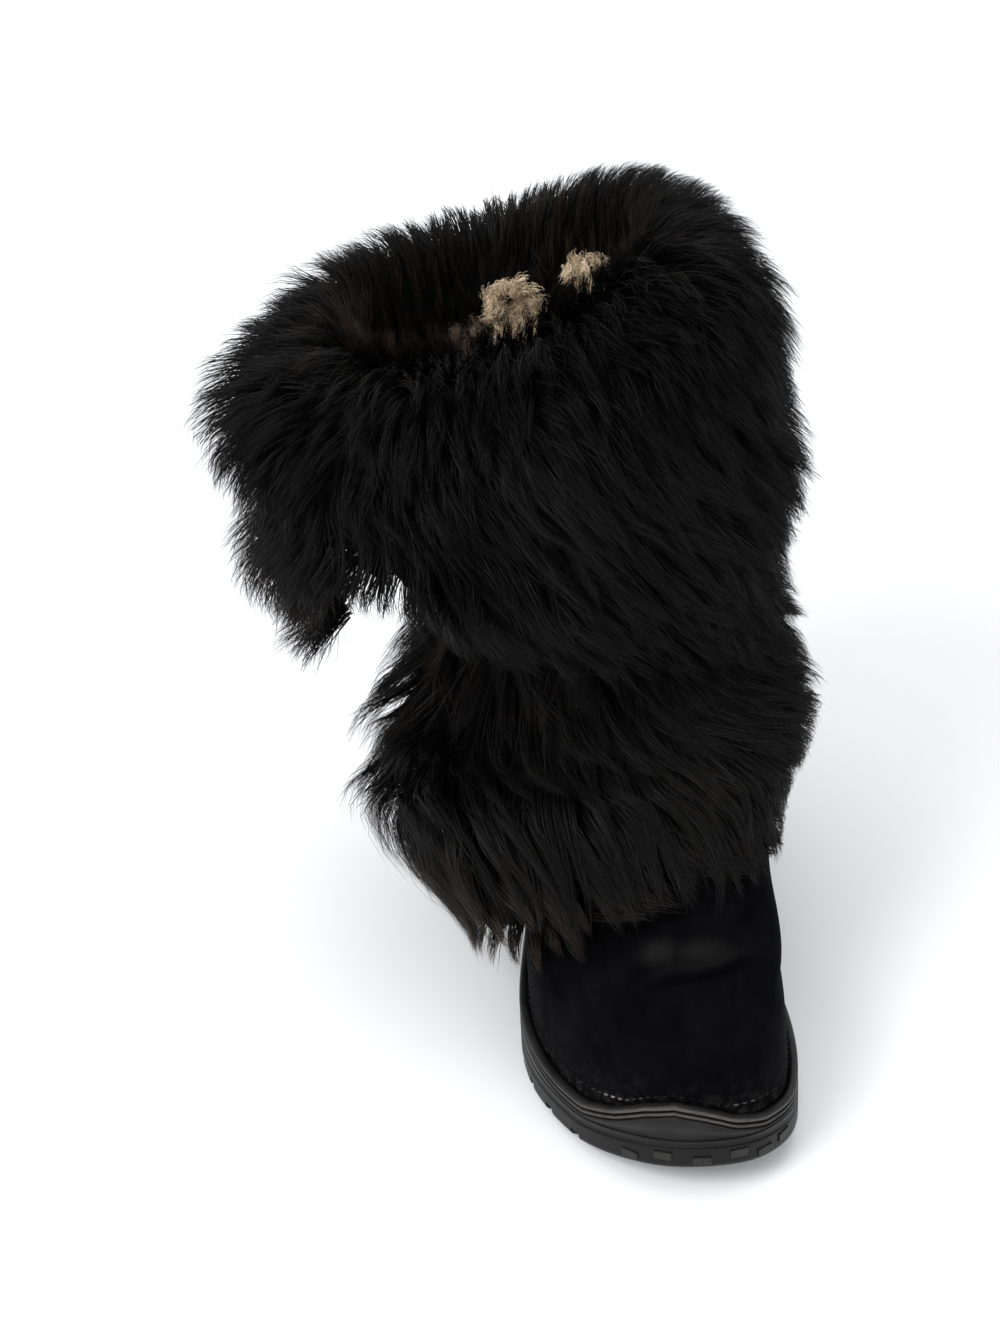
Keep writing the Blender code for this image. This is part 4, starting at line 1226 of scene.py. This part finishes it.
# How far each coat's hairs reach, and how slanted, how long and how proud they are
def cuff_reach(around):
    return REACH.straight("around", around % 1, "cuff")


def shaft_reach(around):
    return REACH.straight("around", around % 1, "shaft")


def cuff_slant(around, run):
    return SPREAD.by("around", around % 1).slant * smooth_step(run, 0.35, 0.75)


def shaft_slant(around, run):
    return HEM.by("around", around % 1).slant * smooth_step(run, 0.15, 0.5)


def rim_slant(around, run):
    return 14 * np.sin(around * TURN * 3) * smooth_step(run, 0.1, 0.3)


def cuff_length(around, run):
    return 0.028 + 0.012 * beside(around, 0.755, 0.06) * smooth_step(run, 0.55, 0.78)


def shaft_length(around, run):
    return 0.038 + 0.006 * beside(around, 0.68, 0.12)


def rim_length(around, run):
    return 0.022 + 0.004 * beside(around, 0.80, 0.12) + 0.006 * beside(around, 0.24, 0.12)


def cuff_proud(around, run):
    return 0.0035 + 0.0050 * beside(around, 0.77, 0.10)


def shaft_proud(around, run):
    outer = beside(around, 0.745, 0.10) * smooth_step(run, 0.15, 0.40) * smooth_step(-run, -1.0, -0.6)
    return 0.0015 + 0.0070 * outer


def rim_proud(around, run):
    return 0.0050 + 0.0070 * beside(around, 0.24, 0.13) - 0.0045 * beside(around, 0.50, 0.06)


def under_fur_end(around, short, most):
    """How far down the shaft its under-fur goes: short of the longest hairs, and no further than most."""
    end = shaft_reach(around) - short + 0.03 * beside(around, 0.74, 0.08)
    return np.minimum(end, most + 0.07 * beside(around, 0.67, 0.05))


def make_pelts(pelt):
    """The dense under-fur of the cuff and the shaft, which the hairs stand in."""
    run, place = grid(np.linspace(0, 1, 72), PELT_DIVISIONS)
    run = run * (cuff_reach(place) - 0.07 - 0.20 * beside(place, 0.725, 0.085))
    lumps = 0.05 * unevenness(51, place * TURN * 18, run * 16)
    lumps = lumps + 0.03 * unevenness(52, place * TURN * 40, run * 9)
    face = lay_cuff(place, run, 0.76 + lumps)[::-1]
    rows, place = CUFF_BACK.fine(19), places_round(PELT_DIVISIONS)
    back = [cuff_point(place, d, 0, o * 0.8, np.clip(i, 0, 1)) for d, o, i in zip(rows.down, rows.out, rows.inside)]
    loop_piece("cuff_pelt", np.concatenate([back, face]), pelt, "fur", ("cuff_fur",))

    run, place = grid(np.linspace(0, 1, 54), PELT_DIVISIONS)
    run = run * under_fur_end(place, 0.13, 0.94)
    lumps = 0.06 * unevenness(53, place * TURN * 18, run * 14)
    thin = (0.50 - 0.28 * beside(place, 0.70, 0.06)) * smooth_step(run, 0.6, 0.93)
    face = lay_shaft(place, run, (0.74 + lumps) * (1 - thin))
    run, place = grid(np.linspace(1, 0, 14), PELT_DIVISIONS)
    back = lay_shaft(place, run * under_fur_end(place, 0.15, 0.92), 0.0)
    loop_piece("shaft_pelt", np.concatenate([face, back]), pelt, "fur", ("shaft_fur",))


def paleness(hair, base):
    """How pale each hair is: mostly black, some brown, palest near the ends on the outer side and at the rim. Its lit
    part
    is painted light: paler on the outer side and down towards the tips, leaving painted shade on the fur under the
    cuff.
    """
    drift = unevenness(61, hair.around * TURN * 3, hair.run * 6)
    # lit paints light: the outer side paler, and each coat paler towards its tips, so the shaft's fur under the cuff
    # keeps a painted shade
    lit = 0.22 * beside(hair.around, 0.74, 0.15) + 0.16 * smooth_step(hair.run, 0.40, 0.85)
    pale = base + lit + 0.14 * drift + hair.dice.normal(0, 0.10, len(hair.around))
    side = bell(hair.around, 0.72, 0.06) * smooth_step(hair.run, 0.62, 0.80)
    pale += 0.30 * smooth_step(-hair.run, -0.24, -0.10)
    return np.clip(pale + 0.35 * side * hair.dice.random(len(hair.around)), 0, 1)


def make_fur(fur):
    """The hairs of the shaft and the cuff, in locks that lie down the boot and stand proud at the rim."""
    shaft = Coat(
        lay_shaft, start=0.14, end=1.08, columns=70, spacing=0.0090, hairs=38, length=shaft_length,
        slant=shaft_slant, reach=shaft_reach, most=1.35, bury=0.013, proud=shaft_proud, ragged=0.0022, clump=0.84,
        bend=1.5, frizz=0.0009,
    )
    cuff = Coat(
        lay_cuff, start=0.30, end=1.04, columns=88, spacing=0.0092, hairs=30, length=cuff_length,
        slant=cuff_slant, reach=cuff_reach, most=1.32, bury=0.014, proud=cuff_proud, ragged=0.0030, clump=0.72,
        bend=1.3, frizz=0.0013,
    )
    rim = Coat(
        lay_cuff, start=0.02, end=0.34, columns=80, spacing=0.0090, hairs=32, length=rim_length,
        slant=rim_slant, reach=cuff_reach, most=1.30, bury=0.012, proud=rim_proud, ragged=0.0024, clump=0.84,
        bend=1.3, frizz=0.0012,
    )
    # Base paleness of each coat; the shaft's is raised partly as painted sheen on the hem's locks, partly as browner
    # hair
    for name, coat, seed, base, node in (
        ("shaft_hair", shaft, 71, 0.26, "shaft_fur"),
        ("cuff_hair", cuff, 72, 0.08, "cuff_fur"),
        ("rim_hair", rim, 73, 0.36, "cuff_fur"),
    ):
        hair = grow(coat, seed)
        pale = paleness(hair, base)
        width = hair.dice.uniform(0.00042, 0.00072, len(pale))
        for side, kept in (("inner", hair.around % 1 <= 0.5), ("outer", hair.around % 1 > 0.5)):
            strand_piece(
                f"{name}_{side}", hair.lines[kept], hair.outward[kept], pale[kept], width[kept], fur, "fur", (node,)
            )


def make_studio():
    """A pale floor, soft lights, and the camera."""
    floor_finish = Finish("studio_floor", Roughness=0.9, Specular_IOR_Level=0.2)
    cloud = floor_finish.grain(0.6, 2, 0.5)
    floor_finish.set("Base Color", floor_finish.tinted(cloud, (0.84, 0.84, 0.845), (0.88, 0.88, 0.885)))
    mesh = bpy.data.meshes.new("studio_floor")
    wide = 12.0
    mesh.from_pydata([(-wide, -wide, 0), (wide, -wide, 0), (wide, wide, 0), (-wide, wide, 0)], [], [(0, 1, 2, 3)])
    mesh.materials.append(floor_finish.material)
    floor = bpy.data.objects.new("studio_floor", mesh)
    bpy.context.scene.collection.objects.link(floor)

    world = bpy.data.worlds.new("studio")
    world.use_nodes = True
    world.node_tree.nodes["Background"].inputs["Color"].default_value = (0.95, 0.97, 1.0, 1)
    world.node_tree.nodes["Background"].inputs["Strength"].default_value = 0.90
    bpy.context.scene.world = world
    bpy.context.scene.view_settings.view_transform = "Standard"
    for name, place, aim, size, power in (
        ("key", (-1.5, -1.1, 1.9), (-0.03, -0.08, 0.12), 1.3, 40.0),
        ("front", (0.7, -2.2, 0.9), (-0.03, -0.10, 0.10), 1.6, 14.0),
        ("top", (0.2, 0.5, 2.4), (-0.03, -0.05, 0.15), 1.8, 16.0),
    ):
        lamp = bpy.data.lights.new(name, "AREA")
        lamp.shape, lamp.size, lamp.energy = "SQUARE", size, power
        lamp_object = bpy.data.objects.new(name, lamp)
        back = unit(np.array(place) - np.array(aim))
        lamp_object.matrix_world = looking(place, back, 0.0)
        bpy.context.scene.collection.objects.link(lamp_object)

    azimuth, elevation, roll = (math.radians(angle) for angle in (-3.30, 32.65, -3.59))
    back = np.array([
        math.sin(azimuth) * math.cos(elevation), -math.cos(azimuth) * math.cos(elevation), math.sin(elevation)
    ])
    lens = bpy.data.cameras.new("camera")
    lens.sensor_width, lens.lens = 36.0, 72.0
    lens.clip_start, lens.clip_end = 0.05, 60.0
    camera = bpy.data.objects.new("camera", lens)
    camera.matrix_world = looking((-0.0974, -0.9590, 0.7029), back, roll)
    bpy.context.scene.collection.objects.link(camera)
    bpy.context.scene.camera = camera


def looking(place, back, roll):
    """The placing of a camera or lamp that faces away from its back, rolled about its view."""
    right = unit(np.cross([0, 0, 1.0], back))
    up = np.cross(back, right)
    across = right * math.cos(roll) + up * math.sin(roll)
    above = up * math.cos(roll) - right * math.sin(roll)
    matrix = Matrix.Translation(place)
    for k in range(3):
        matrix[k][0], matrix[k][1], matrix[k][2] = across[k], above[k], back[k]
    return matrix


def main():
    sole_rubber = rubber_finish("sole_rubber", (0.0026, 0.0025, 0.0024), (0.0062, 0.0058, 0.0054), 0.38)
    rand_rubber = rubber_finish("rand_rubber", (0.0058, 0.0054, 0.0052), (0.0185, 0.0170, 0.0158), 0.32)
    suede, wool, fur, pelt = suede_finish(), wool_finish(), fur_finish(), pelt_finish()
    make_studio()
    make_outsole(sole_rubber)
    make_midsole(sole_rubber)
    make_rand(rand_rubber)
    make_upper(suede)
    make_stitches(thread_finish())
    make_lining(wool)
    make_curls(wool)
    make_pelts(pelt)
    make_fur(fur)
    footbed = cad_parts["insole"]
    footbed.data.materials.clear()
    footbed.data.materials.append(felt_finish())


main()
